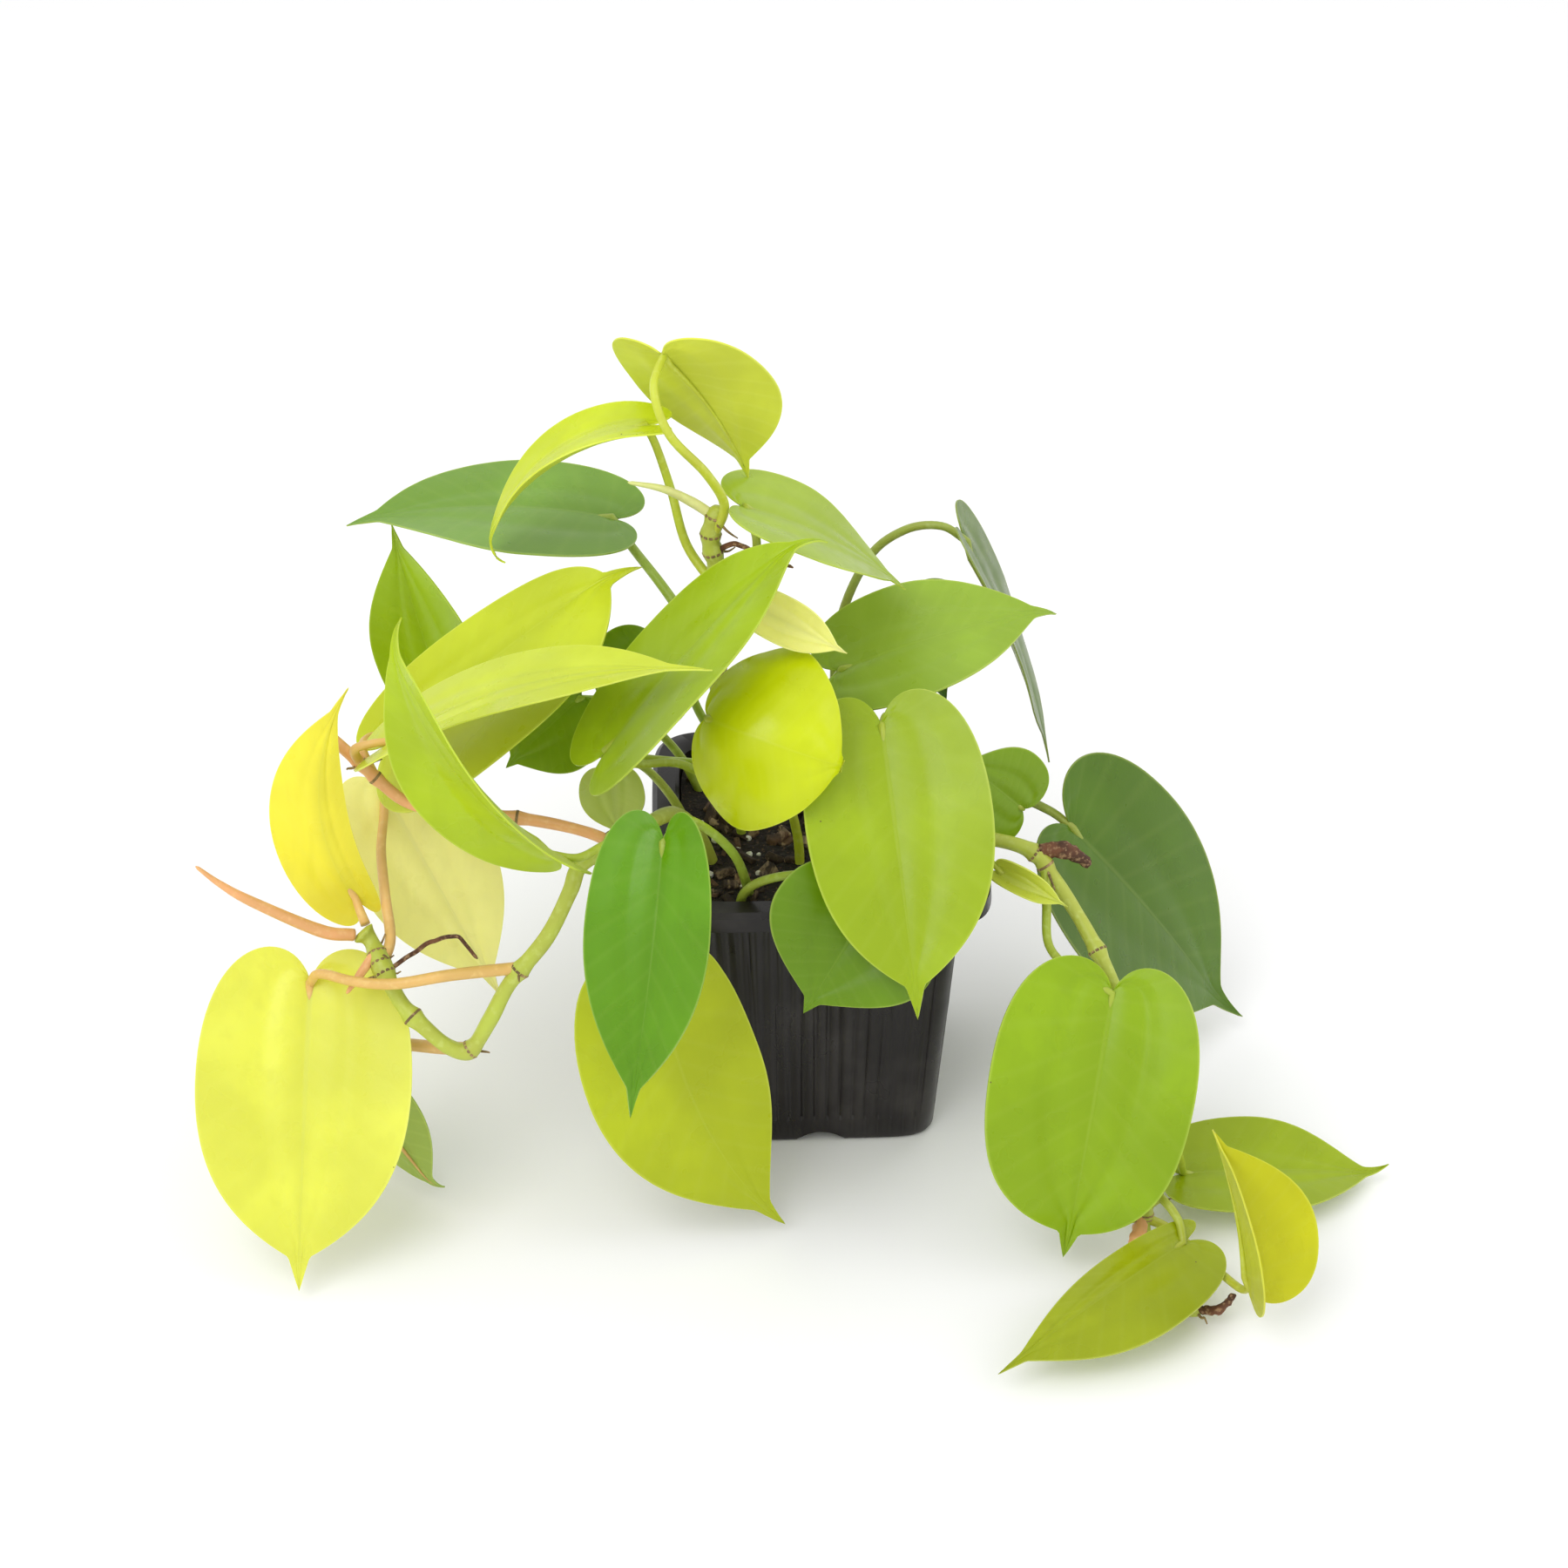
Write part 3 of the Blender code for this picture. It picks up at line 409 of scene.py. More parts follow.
def wire(tree, kind, inputs=(), **properties):
    """Add a shader node, set its properties, and give each input a value or a link."""
    made = tree.nodes.new(kind)
    for key, value in properties.items():
        setattr(made, key, value)
    for key, value in dict(inputs).items():
        if isinstance(value, bpy.types.NodeSocket):
            tree.links.new(value, made.inputs[key])
        else:
            made.inputs[key].default_value = value
    return made


def new_finish(name, roughness):
    """A material with one Principled shader; gives the material, its tree and the shader."""
    made = bpy.data.materials.new(name)
    made.use_nodes = True
    shader = made.node_tree.nodes["Principled BSDF"]
    shader.inputs["Roughness"].default_value = roughness
    return made, made.node_tree, shader


def object_place(tree):
    """The piece's own coordinates, in metres."""
    return wire(tree, "ShaderNodeTexCoord").outputs["Object"]


def cloud(tree, scale, detail=2.0, stretch=(1, 1, 1)):
    """Soft noise from 0 to 1 over the piece."""
    place = wire(tree, "ShaderNodeMapping", {"Vector": object_place(tree), "Scale": stretch})
    made = wire(tree, "ShaderNodeTexNoise", {"Vector": place.outputs[0], "Scale": scale, "Detail": detail})
    return made.outputs[0]


def spread(tree, value, low, high, to_low=0.0, to_high=1.0):
    """A value carried smoothly from one range to another."""
    inputs = {"Value": value, "From Min": low, "From Max": high, "To Min": to_low, "To Max": to_high}
    return wire(tree, "ShaderNodeMapRange", inputs, interpolation_type="SMOOTHSTEP").outputs[0]


def blend(tree, share, first, second):
    """A colour between two others; a plain colour is given as three numbers."""
    inputs = {0: share, 6: first, 7: second}
    for key in (6, 7):
        if not isinstance(inputs[key], bpy.types.NodeSocket):
            inputs[key] = (*inputs[key], 1.0)
    return wire(tree, "ShaderNodeMix", inputs, data_type="RGBA").outputs[2]


def maths(tree, operation, *values):
    """One arithmetic step."""
    return wire(tree, "ShaderNodeMath", dict(enumerate(values)), operation=operation).outputs[0]


def emboss(tree, shader, height, strength, distance):
    """Raise the surface's shading by a height map."""
    inputs = {"Height": height, "Strength": strength, "Distance": distance}
    bump = wire(tree, "ShaderNodeBump", inputs)
    tree.links.new(bump.outputs[0], shader.inputs["Normal"])


def linear(tint):
    """An sRGB colour in bytes as linear light."""
    shares = [channel / 255 for channel in tint]
    return tuple(share / 12.92 if share < 0.04045 else ((share + 0.055) / 1.055) ** 2.4 for share in shares)


def mixed(first, second, share):
    """A plain colour between two others."""
    return tuple(a + (b - a) * share for a, b in zip(first, second))


def leaf_finish(name, colour, roughness, vein_share):
    """A leaf's skin: faint paler veins along the blade's map, soft mottling, painted shade along the midrib's
    groove, a thin pale edge and specks.
    """
    sizes = settings("leaves")
    made, tree, shader = new_finish(name, roughness)
    leaf_map = wire(tree, "ShaderNodeUVMap", uv_map=LEAF_MAP).outputs[0]
    parts = wire(tree, "ShaderNodeSeparateXYZ", {0: leaf_map})
    along, across = parts.outputs[0], parts.outputs[1]
    off_rib = maths(tree, "ABSOLUTE", maths(tree, "MULTIPLY_ADD", across, 2.0, -1.0))
    ripple = maths(tree, "PINGPONG", maths(tree, "MULTIPLY", along, float(sizes.veins)), 0.5)
    side_vein = maths(tree, "MULTIPLY", spread(tree, ripple, 0.0, 0.20, 1.0, 0.0), 0.35)
    midrib = spread(tree, off_rib, 0.004, 0.03, 1.0, 0.0)
    veins = maths(tree, "MAXIMUM", side_vein, midrib)
    deep = tuple(channel * 0.84 for channel in colour)
    pale = mixed(colour, (0.78, 0.84, 0.26), 0.4)
    mottled = blend(tree, spread(tree, cloud(tree, 28, 3), 0.36, 0.70), deep, colour)
    streaks = cloud(tree, 260, 2, (1, 1, 0.15))
    mottled = blend(tree, spread(tree, streaks, 0.45, 0.75, 0.0, 0.35), mottled, deep)
    # Painted shade: the blade's colour darkens towards the midrib, where its groove runs.
    shaded = blend(tree, spread(tree, off_rib, 0.0, 0.30, 0.5, 0.0), mottled, deep)
    veined = blend(tree, maths(tree, "MULTIPLY", veins, vein_share), shaded, pale)
    edged = blend(tree, spread(tree, off_rib, 0.970, 0.998, 0.0, 0.45), veined, pale)
    spots = wire(tree, "ShaderNodeTexVoronoi", {"Vector": object_place(tree), "Scale": 150.0})
    dots = spread(tree, spots.outputs["Distance"], 0.03, 0.05, 1.0, 0.0)
    some = maths(tree, "GREATER_THAN", cloud(tree, 90), 0.66)
    specked = blend(tree, maths(tree, "MULTIPLY", dots, some), edged, tuple(sizes.speck))
    tree.links.new(specked, shader.inputs["Base Color"])
    satin = spread(tree, cloud(tree, 110), 0.3, 0.7, roughness - 0.05, roughness + 0.06)
    tree.links.new(satin, shader.inputs["Roughness"])
    emboss(tree, shader, maths(tree, "ADD", veins, cloud(tree, 900)), 0.14, 0.0002)
    shader.inputs["Specular IOR Level"].default_value = 0.32
    translucent(shader, 0.22, (1.0, 0.8, 0.1), 0.0016)
    return made


def layered(tree, shader, colours, patches, streaks, bump):
    """Patches of two colours under streaks of a third, over fine unevenness.

    patches and streaks hold a cloud's settings and the ranges that it is spread from and to; bump holds a
    cloud's settings, and the strength and distance of the relief.
    """
    base = blend(tree, spread(tree, cloud(tree, *patches[0]), *patches[1]), colours[0], colours[1])
    top = blend(tree, spread(tree, cloud(tree, *streaks[0]), *streaks[1]), base, colours[2])
    tree.links.new(top, shader.inputs["Base Color"])
    emboss(tree, shader, cloud(tree, *bump[0]), *bump[1])


def translucent(shader, weight, radius, scale):
    """Let light scatter inside the surface."""
    shader.inputs["Subsurface Weight"].default_value = weight
    shader.inputs["Subsurface Radius"].default_value = radius
    shader.inputs["Subsurface Scale"].default_value = scale


def stem_finish(name, colour):
    """Fresh stem skin: streaked and slightly waxy."""
    made, tree, shader = new_finish(name, 0.42)
    colours = (mixed(colour, (0.30, 0.22, 0.05), 0.22), colour, mixed(colour, (0.85, 0.88, 0.45), 0.18))
    streaks = ((420, 2), (0.50, 0.72, 0.0, 0.6))
    layered(tree, shader, colours, ((70, 3), (0.35, 0.70)), streaks, ((600,), (0.2, 0.0002)))
    translucent(shader, 0.15, (0.8, 1.0, 0.3), 0.0015)
    return made


def dry_finish(name, colour):
    """Dry papery tissue: brown with paler fibres."""
    made, tree, shader = new_finish(name, 0.8)
    colours = (mixed(colour, BLACK, 0.6), colour, mixed(colour, (0.62, 0.42, 0.22), 0.55))
    fibres = ((700, 2), (0.50, 0.70, 0.0, 0.7))
    layered(tree, shader, colours, ((160, 4), (0.38, 0.66)), fibres, ((500, 3), (0.6, 0.0004)))
    return made


def plastic_finish():
    """Thin black-brown moulded plastic, satin, with faint dust and scuffs."""
    made, tree, shader = new_finish("black_plastic", 0.30)
    colour = tuple(settings("pot").colour)
    dusty = mixed(colour, (0.30, 0.27, 0.25), 0.14)
    dust = spread(tree, cloud(tree, 38, 4), 0.46, 0.80, 0.0, 0.7)
    scuffs = spread(tree, cloud(tree, 90, 2, (1, 1, 0.2)), 0.58, 0.80, 0.0, 0.4)
    worn = blend(tree, maths(tree, "MAXIMUM", dust, scuffs), colour, dusty)
    tree.links.new(worn, shader.inputs["Base Color"])
    shader.inputs["Specular IOR Level"].default_value = 0.3
    tree.links.new(spread(tree, cloud(tree, 60, 3), 0.3, 0.7, 0.24, 0.40), shader.inputs["Roughness"])
    emboss(tree, shader, cloud(tree, 1500, 2), 0.15, 0.0001)
    return made


def peat_finish():
    """Dark crumbly potting mix."""
    made, tree, shader = new_finish("peat", 0.95)
    peat = tuple(settings("soil").peat)
    crumbs = ((900, 2), (0.58, 0.70, 0.0, 0.8))
    colours = (mixed(peat, BLACK, 0.5), peat, (0.10, 0.055, 0.03))
    layered(tree, shader, colours, ((260, 5), (0.40, 0.66)), crumbs, ((700, 4), (1.0, 0.0012)))
    return made


def bark_finish(name, colour):
    """Rough split bark."""
    made, tree, shader = new_finish(name, 0.85)
    colours = (mixed(colour, BLACK, 0.55), colour, mixed(colour, (0.7, 0.5, 0.3), 0.5))
    fibres = ((500, 3, (1, 0.2, 1)), (0.52, 0.70, 0.0, 0.6))
    layered(tree, shader, colours, ((180, 3), (0.36, 0.66)), fibres, ((800, 3), (0.7, 0.0005)))
    return made


def grain_finish():
    """White puffed mineral grains."""
    made, tree, shader = new_finish("white_grain", 0.9)
    white = blend(tree, spread(tree, cloud(tree, 500, 3), 0.35, 0.65), (0.50, 0.47, 0.40), (0.86, 0.84, 0.78))
    tree.links.new(white, shader.inputs["Base Color"])
    emboss(tree, shader, cloud(tree, 1800, 2), 0.6, 0.0003)
    return made


def floor_finish():
    """Plain pale floor with barely visible unevenness."""
    made, tree, shader = new_finish("pale_floor", 0.9)
    pale = tuple(settings("stage").floor)
    patchy = blend(tree, cloud(tree, 3), mixed(pale, (1, 1, 1), 0.1), pale)
    tree.links.new(patchy, shader.inputs["Base Color"])
    return made


# Shared mesh work


def place(name, mesh, finishes=()):
    """A new object for a mesh, at the origin."""
    made = bpy.data.objects.new(name, mesh)
    bpy.context.scene.collection.objects.link(made)
    for finish in finishes:
        made.data.materials.append(finish)
    return made


def finished_mesh(thing):
    """The object's mesh with its modifiers applied; the object itself goes."""
    bpy.context.view_layer.update()
    graph = bpy.context.evaluated_depsgraph_get()
    mesh = bpy.data.meshes.new_from_object(thing.evaluated_get(graph))
    bpy.data.objects.remove(thing)
    return mesh


def mesh_from(bm, name, outward=True):
    """Turn a bmesh, in millimetres, into a smooth-shaded mesh in metres."""
    bmesh.ops.scale(bm, vec=(MM, MM, MM), verts=bm.verts)
    if outward:
        bmesh.ops.recalc_face_normals(bm, faces=bm.faces)
    mesh = bpy.data.meshes.new(name)
    bm.to_mesh(mesh)
    bm.free()
    mesh.shade_smooth()
    mesh.set_sharp_from_angle(angle=SHARP_ANGLE)
    return mesh


def piece(name, meshes, finishes, slot, *nodes):
    """One finished piece from several meshes, riding on the plant and standing for the CAD nodes."""
    bm = bmesh.new()
    for mesh in meshes:
        bm.from_mesh(mesh)
    whole = bpy.data.meshes.new(name)
    bm.to_mesh(whole)
    bm.free()
    made = place(name, whole, finishes)
    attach(made, BODY)
    if nodes:
        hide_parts(*nodes)


def smooth_route(points, steps):
    """Points along a smooth curve through the given ones."""
    points = [Vector(point) for point in points]
    ends = [2 * points[0] - points[1], *points, 2 * points[-1] - points[-2]]
    route = [points[0]]
    for before, start, stop, after in zip(ends, ends[1:], ends[2:], ends[3:]):
        lead = start + (stop - before) / 6
        trail = stop - (after - start) / 6
        route += interpolate_bezier(start, lead, trail, stop, steps + 1)[1:]
    return route


def tube_mesh(name, route, radii, material_index=0):
    """A closed round tube along dense points, with a radius in millimetres at each."""
    curve = bpy.data.curves.new(name, "CURVE")
    curve.dimensions = "3D"
    curve.bevel_depth = MM
    curve.bevel_resolution = BEVEL_RINGS
    curve.use_fill_caps = True
    spline = curve.splines.new("POLY")
    spline.points.add(len(route) - 1)
    for point, where, radius in zip(spline.points, route, radii):
        point.co = (*(Vector(where) * MM), 1)
        point.radius = float(radius)
    mesh = finished_mesh(place(name, curve))
    bm = bmesh.new()
    bm.from_mesh(mesh)
    bmesh.ops.remove_doubles(bm, verts=bm.verts, dist=TUBE_MERGE)
    bmesh.ops.recalc_face_normals(bm, faces=bm.faces)
    for face in bm.faces:
        face.material_index = material_index
        face.smooth = True
    bm.to_mesh(mesh)
    bm.free()
    return mesh


def tapered(radii, count):
    """The given radii spread evenly over a number of points."""
    return np.interp(np.linspace(0, 1, count), np.linspace(0, 1, len(radii)), radii)


# Leaves


def bezier_point(handles, share):
    """A point of a cubic Bezier curve."""
    rest = 1 - share
    weights = (rest**3, 3 * rest**2 * share, 3 * rest * share**2, share**3)
    return sum(weight * np.array(handle) for weight, handle in zip(weights, handles))


def margin(along, blunt):
    """A point of the blade's edge, as (length, half width), for a share of the way from notch to tip."""
    if along < LOBE_END:
        return bezier_point(LOBE, along / LOBE_END)
    flank = np.array(FLANK) + blunt * np.array(BLUNT_FLANK)
    if along < FLANK_END:
        return bezier_point(flank, (along - LOBE_END) / (FLANK_END - LOBE_END))
    left = (1 - along) / (1 - FLANK_END)
    return np.array((1 - left * (1 - flank[3][0]), left * flank[3][1]))


def unit(vector):
    """A vector of length one."""
    vector = np.array(vector, float)
    return vector / np.linalg.norm(vector)


class Midrib:
    """The curved line that a blade is built on, from its base to the end of its drip tip."""

    SAMPLES = 120

    def __init__(self, leaf):
        self.share = np.linspace(0, 1, self.SAMPLES)
        bend = np.clip((self.share - CURL_FROM) / (1 - CURL_FROM), 0, 1) ** 1.5
        down = np.radians(leaf.arch) * (self.share - 0.5) + np.radians(leaf.curl) * bend
        side = np.radians(leaf.sweep) * (self.share - 0.5)
        run = np.stack([np.cos(down) * np.cos(side), np.sin(side), -np.sin(down) * np.cos(side)], 1)
        middle = (run[1:] + run[:-1]) / 2 / (self.SAMPLES - 1)
        line = np.concatenate([[np.zeros(3)], np.cumsum(middle, 0)])
        shoulder = line[round(SHOULDER * (self.SAMPLES - 1))]
        along = unit(shoulder)
        upward = unit(np.array((0, 0, 1)) - along * along[2])
        level = np.stack([along, np.cross(upward, along), upward])
        base, tip = np.array(leaf.base, float), np.array(leaf.tip, float)
        self.length = np.linalg.norm(tip - base) / np.linalg.norm(shoulder)
        out = unit(tip - base)
        self.face = unit(np.array(leaf.face) - out * (out @ leaf.face))
        world = np.stack([out, np.cross(self.face, out), self.face])
        self.line = base + line @ level.T * self.length @ world
        self.run = run @ level.T @ world

    def at(self, share):
        """Position, direction, upward normal and sideways direction at a share of the length."""
        held = min(max(share, 0), 1)
        where = np.array([np.interp(held, self.share, axis) for axis in self.line.T])
        ahead = unit([np.interp(held, self.share, axis) for axis in self.run.T])
        where = where + ahead * min(share, 0) * self.length
        up = unit(self.face - ahead * (ahead @ self.face))
        return where, ahead, up, np.cross(up, ahead)


def relief(leaf, along, across, reach):
    """Height of the blade's own form over its folded sheet: groove, furrows, quilting and wavy edge."""
    sizes = settings("leaves")
    body = math.sin(math.pi * min(max(along, 0), 1))
    out = abs(across)
    groove = -sizes.groove / MM * math.exp(-((reach / 1.6) ** 2)) * (1 - along)
    furrow = -leaf.pleat * math.exp(-(((out - 0.42) / 0.13) ** 2)) * body
    quilt = sizes.quilting / MM * math.cos(2 * math.pi * sizes.veins * along) * out * (1.2 - out)
    side = 0 if across < 0 else 1.7
    edge = leaf.wave * math.sin(9.5 * along + side + leaf.width) * out**3 * body
    return groove + furrow - quilt + edge


def blade_point(leaf, midrib, along, across):
    """A point of the blade's middle surface: along from notch to tip, across from -1 to 1."""
    edge_along, edge_across = margin(along, leaf.blunt)
    foot = max(0, (along - VEIN_FAN_END) / (1 - VEIN_FAN_END)) ** VEIN_FAN_BEND
    share = foot + abs(across) * (edge_along - foot)
    half_width = leaf.width / 2 * (1 + leaf.lean * math.copysign(1, across))
    reach = abs(across) * edge_across * half_width
    where, _, up, side = midrib.at(share)
    turn = math.radians(leaf.twist) * (share - TWIST_CENTRE)
    side, up = side * math.cos(turn) + up * math.sin(turn), up * math.cos(turn) - side * math.sin(turn)
    rise = math.radians(leaf.fold + leaf.cup * abs(across) * edge_across)
    level = math.copysign(reach * math.cos(rise), across)
    return where + side * level + up * (reach * math.sin(rise) + relief(leaf, along, across, reach))


def blade_mesh(name, leaf, midrib):
    """The blade, thick and closed, with its own map: along from notch to tip, and across."""
    rows, columns = fineness(BLADE_ROWS), fineness(BLADE_COLUMNS)
    bm = bmesh.new()
    bm.loops.layers.uv.new(LEAF_MAP)
    bmesh.ops.create_grid(bm, x_segments=rows, y_segments=columns, size=1, calc_uvs=True)
    for vert in bm.verts:
        vert.co = Vector(blade_point(leaf, midrib, (vert.co.x + 1) / 2, vert.co.y))
    bmesh.ops.remove_doubles(bm, verts=bm.verts, dist=BLADE_MERGE)
    blade = place(name, mesh_from(bm, name, outward=False))
    for _ in range(2):
        blade.data.materials.append(None)
    thickness = blade.modifiers.new("thickness", "SOLIDIFY")
    thickness.thickness = settings("leaves").thickness
    thickness.offset = 0
    thickness.material_offset = 1
    mesh = finished_mesh(blade)
    mesh.set_sharp_from_angle(angle=SHARP_ANGLE)
    return mesh


def petiole_mesh(name, leaf, midrib):
    """The petiole, which runs on under the blade as its midrib and thins out towards the tip."""
    stalk = smooth_route((*leaf.route, tuple(midrib.at(0)[0])), PETIOLE_STEPS)
    radii = list(tapered((leaf.petiole * 1.15, leaf.petiole, leaf.petiole * 0.85), len(stalk)))
    rib_radii = tapered((leaf.petiole * 0.85, leaf.petiole * 0.5, leaf.petiole * 0.3, 0.15), MIDRIB_STEPS)
    groove = settings("leaves").groove / MM
    for share, radius in zip(np.linspace(0.03, 0.93, len(rib_radii)), rib_radii):
        where, _, up, _ = midrib.at(share)
        depth = groove * (1 - share) * 1.1 + radius * 0.9
        stalk.append(Vector(where - up * depth * min(1, share / 0.06)))
        radii.append(radius)
    return tube_mesh(name, stalk, radii, material_index=2)


def grow_leaf(name, leaf):
    """One leaf: blade, underside and petiole."""
    midrib = Midrib(leaf)
    colour = linear(leaf.tint)
    under = mixed(colour, tuple(settings("leaves").underside), 0.35)
    stalk = mixed(colour, tuple(settings("stems").green), 0.5)
    if leaf.grows_from == "upper_left_vine" or name.startswith("left_vine"):
        stalk = mixed(stalk, tuple(settings("stems").orange), 0.75)
    finishes = (
        leaf_finish(f"{name}_upper", colour, UPPER_ROUGHNESS, UPPER_VEINS),
        leaf_finish(f"{name}_under", under, UNDER_ROUGHNESS, UNDER_VEINS),
        stem_finish(f"{name}_stalk", stalk),
    )
    meshes = (blade_mesh(f"{name}_blade", leaf, midrib), petiole_mesh(f"{name}_petiole", leaf, midrib))
    piece(f"{name}_grown", meshes, finishes, leaf.slot, name)


# Stems, shoots and roots


def stem_colours():
    """The plain colour of each stem slot."""
    stems = settings("stems")
    return {
        "stem_green": tuple(stems.green),
        "stem_orange": tuple(stems.orange),
        "leaf_pale": tuple(stems.pale),
        "dry_brown": tuple(stems.dry),
    }


def attachments(vine):
    """Where leaves, shoots and side vines leave a vine."""
    places = [leaf.route[0] for leaf in LEAVES.values() if leaf.grows_from == vine]
    places += [shoot["route"][0] for shoot in TRIM.values() if shoot["grows_from"] == vine]
    places += [other["route"][0] for other in VINES.values() if other.get("grows_from") == vine]
    return places


def grow_vine(name, vine):
    """One vine, swollen at its nodes, with a brown scar ring and rootlets at each."""
    route = smooth_route(vine["route"], STEM_STEPS)
    run = np.array([tuple(point) for point in route])
    nodes = [int(np.argmin(np.linalg.norm(run - np.array(where), axis=1))) for where in attachments(name)]
    for index in range(NODE_SPACING // 2, len(route) - STEM_STEPS, NODE_SPACING):
        if all(abs(index - old) > NODE_CLEARANCE for old in nodes):
            nodes.append(index)
    swelling = settings("stems").node_swelling
    radii = np.full(len(route), vine["radius"], float)
    for node in nodes:
        away = np.linalg.norm(run - run[node], axis=1)
        radii *= 1 + swelling * np.exp(-((away / NODE_REACH) ** 2))
    radii *= 1 + 0.04 * np.sin(np.arange(len(route)) * 0.37)
    radii[-3:] *= (0.95, 0.8, 0.5)
    finish = stem_finish(f"{name}_skin", stem_colours()[vine["slot"]])
    scar_finish = dry_finish(f"{name}_scars", mixed(stem_colours()["dry_brown"], (0.5, 0.36, 0.14), 0.6))
    meshes = [tube_mesh(name, route, radii)]
    rng = random.Random(name)
    for node in sorted(set(nodes)):
        inside_soil = name == "top_vine" and route[node].z < POT_HEIGHT - 10
        if inside_soil or not 0 < node < len(route) - 1:
            continue
        ahead = (route[node + 1] - route[node - 1]).normalized() * SCAR_WIDTH / 2
        ring = (route[node] - ahead, route[node], route[node] + ahead)
        swollen = radii[node] + SCAR_HEIGHT
        meshes.append(tube_mesh("scar", ring, (swollen * 0.97, swollen, swollen * 0.97), 1))
        for _ in range(rng.randint(0, settings("stems").rootlets)):
            meshes.append(rootlet(rng, route[node], radii[node]))
    piece(f"{name}_grown", meshes, (finish, scar_finish), vine["slot"], name)


def rootlet(rng, start, skin):
    """A short crooked root that leaves a node sideways."""
    length = settings("stems").rootlet_length / MM * rng.uniform(0.5, 1.4)
    heading = Vector((rng.uniform(-1, 1), rng.uniform(-1, 1), rng.uniform(-0.8, 0.4))).normalized()
    points = [start + heading * (skin * 0.5)]
    for step in range(1, 4):
        sway = Vector([rng.uniform(-0.7, 0.7) for _ in range(3)])
        points.append(points[0] + heading * (length * step / 3) + sway)
    route = smooth_route(points, 3)
    return tube_mesh("rootlet", route, tapered((0.45, 0.38, 0.2), len(route)), 1)


def crook(point):
    """How far a point of a root strays; vector noise would differ from run to run."""
    return ROOT_STRAY * Vector([noise.noise(point / 4 + Vector((0, 0, shift))) for shift in (0, 31, 67)])


def grow_trim(name, trim):
    """A shoot, bud, root or sheath: a tapered tube, crumpled where it is dry."""
    dry = trim["slot"] == "dry_brown"
    route = smooth_route(trim["route"], STEM_STEPS)
    radii = tapered(trim["radii"], len(route))
    radii[-1] *= 0.4
    if "root" in name:
        for index, point in enumerate(route):
            point += crook(point) * min(1, index / 6)
    mesh = tube_mesh(name, route, radii)
    if "sheath" in name or name == "right_shoot":
        for vert in mesh.vertices:
            vert.co += vert.normal * noise.noise(vert.co / (1.6 * MM)) * 0.9 * MM
    colour = stem_colours()[trim["slot"]]
    finish = dry_finish(f"{name}_skin", colour) if dry else stem_finish(f"{name}_skin", colour)
    piece(f"{name}_grown", (mesh,), (finish,), trim["slot"], name)


# Pot and soil


def pot_half_width(height):
    """Half the pot's outer width at a height, on its slanting wall."""
    share = height / POT_HEIGHT
    return (POT_FOOT_WIDTH + (POT_TOP_WIDTH - POT_FOOT_WIDTH) * share) / 2


def square_ring(bm, half_width, height, segments, rib_depth=0):
    """A closed loop of edges round a square with soft corners, grooved between its ribs."""
    pot = settings("pot")
    loop = bmesh.ops.create_circle(bm, cap_ends=False, radius=1, segments=segments)["verts"]
    for vert in loop:
        x, y = vert.co.x, vert.co.y
        reach = (abs(x) ** SQUARENESS + abs(y) ** SQUARENESS) ** (1 / SQUARENESS)
        x, y = x / reach * half_width, y / reach * half_width
        beside = min(abs(x), abs(y))
        if rib_depth and beside < half_width * pot.rib_share:
            groove = (0.5 - 0.5 * math.cos(2 * math.pi * beside * MM / pot.rib_pitch)) ** 2
            shrink = 1 - rib_depth * groove / half_width
            if abs(x) > abs(y):
                x *= shrink
            else:
                y *= shrink
        vert.co = (x, y, height)
    return list({edge for vert in loop for edge in vert.link_edges})


def mould_pot():
    """The thin moulded pot: ribbed walls, a turned-over rim and a drain arch at the foot of each side."""
    segments = fineness(POT_SEGMENTS)
    depth = settings("pot").rib_depth / MM
    top = POT_HEIGHT - POT_WALL
    lip = pot_half_width(POT_HEIGHT) + RIM_OVERHANG - POT_WALL
    profile = [
        (pot_half_width(0) - FOOT_ROUND, 0, 0),
        (pot_half_width(0.6) - 0.6, 0.6, 0),
        (pot_half_width(FOOT_ROUND), FOOT_ROUND, 0),
        (pot_half_width(RIB_FOOT), RIB_FOOT, 0),
        (pot_half_width(RIB_FOOT + 1), RIB_FOOT + 1, depth),
        (pot_half_width(50), 50, depth),
        (pot_half_width(RIB_TOP - 1), RIB_TOP - 1, depth),
        (pot_half_width(RIB_TOP), RIB_TOP, 0),
        (pot_half_width(top - 0.5), top - 0.5, 0),
        (pot_half_width(top) + 0.5, top, 0),
        (lip - 0.8, top, 0),
        (lip, top - 0.8, 0),
        (lip + 0.2, POT_HEIGHT - RIM_DROP, 0),
    ]
    bm = bmesh.new()
    rings = [square_ring(bm, half_width, height, segments, rib) for half_width, height, rib in profile]
    bmesh.ops.contextual_create(bm, geom=rings[0])
    for lower, upper in zip(rings, rings[1:]):
        bmesh.ops.bridge_loops(bm, edges=lower + upper)
    pot = place("pot_shell", mesh_from(bm, "pot_shell"))
    wall = pot.modifiers.new("wall", "SOLIDIFY")
    wall.thickness = POT_WALL * MM
    wall.offset = 1
    cutters = [drain_cutter(side) for side in range(4)]
    for cutter in cutters:
        cut = pot.modifiers.new("drain", "BOOLEAN")
        cut.operation = "DIFFERENCE"
        cut.object = cutter
        cut.solver = "EXACT"
    mesh = finished_mesh(pot)
    for cutter in cutters:
        bpy.data.objects.remove(cutter)
    mesh.set_sharp_from_angle(angle=SHARP_ANGLE)
    piece("nursery_pot", (mesh,), (plastic_finish(),), "pot_plastic", "pot")


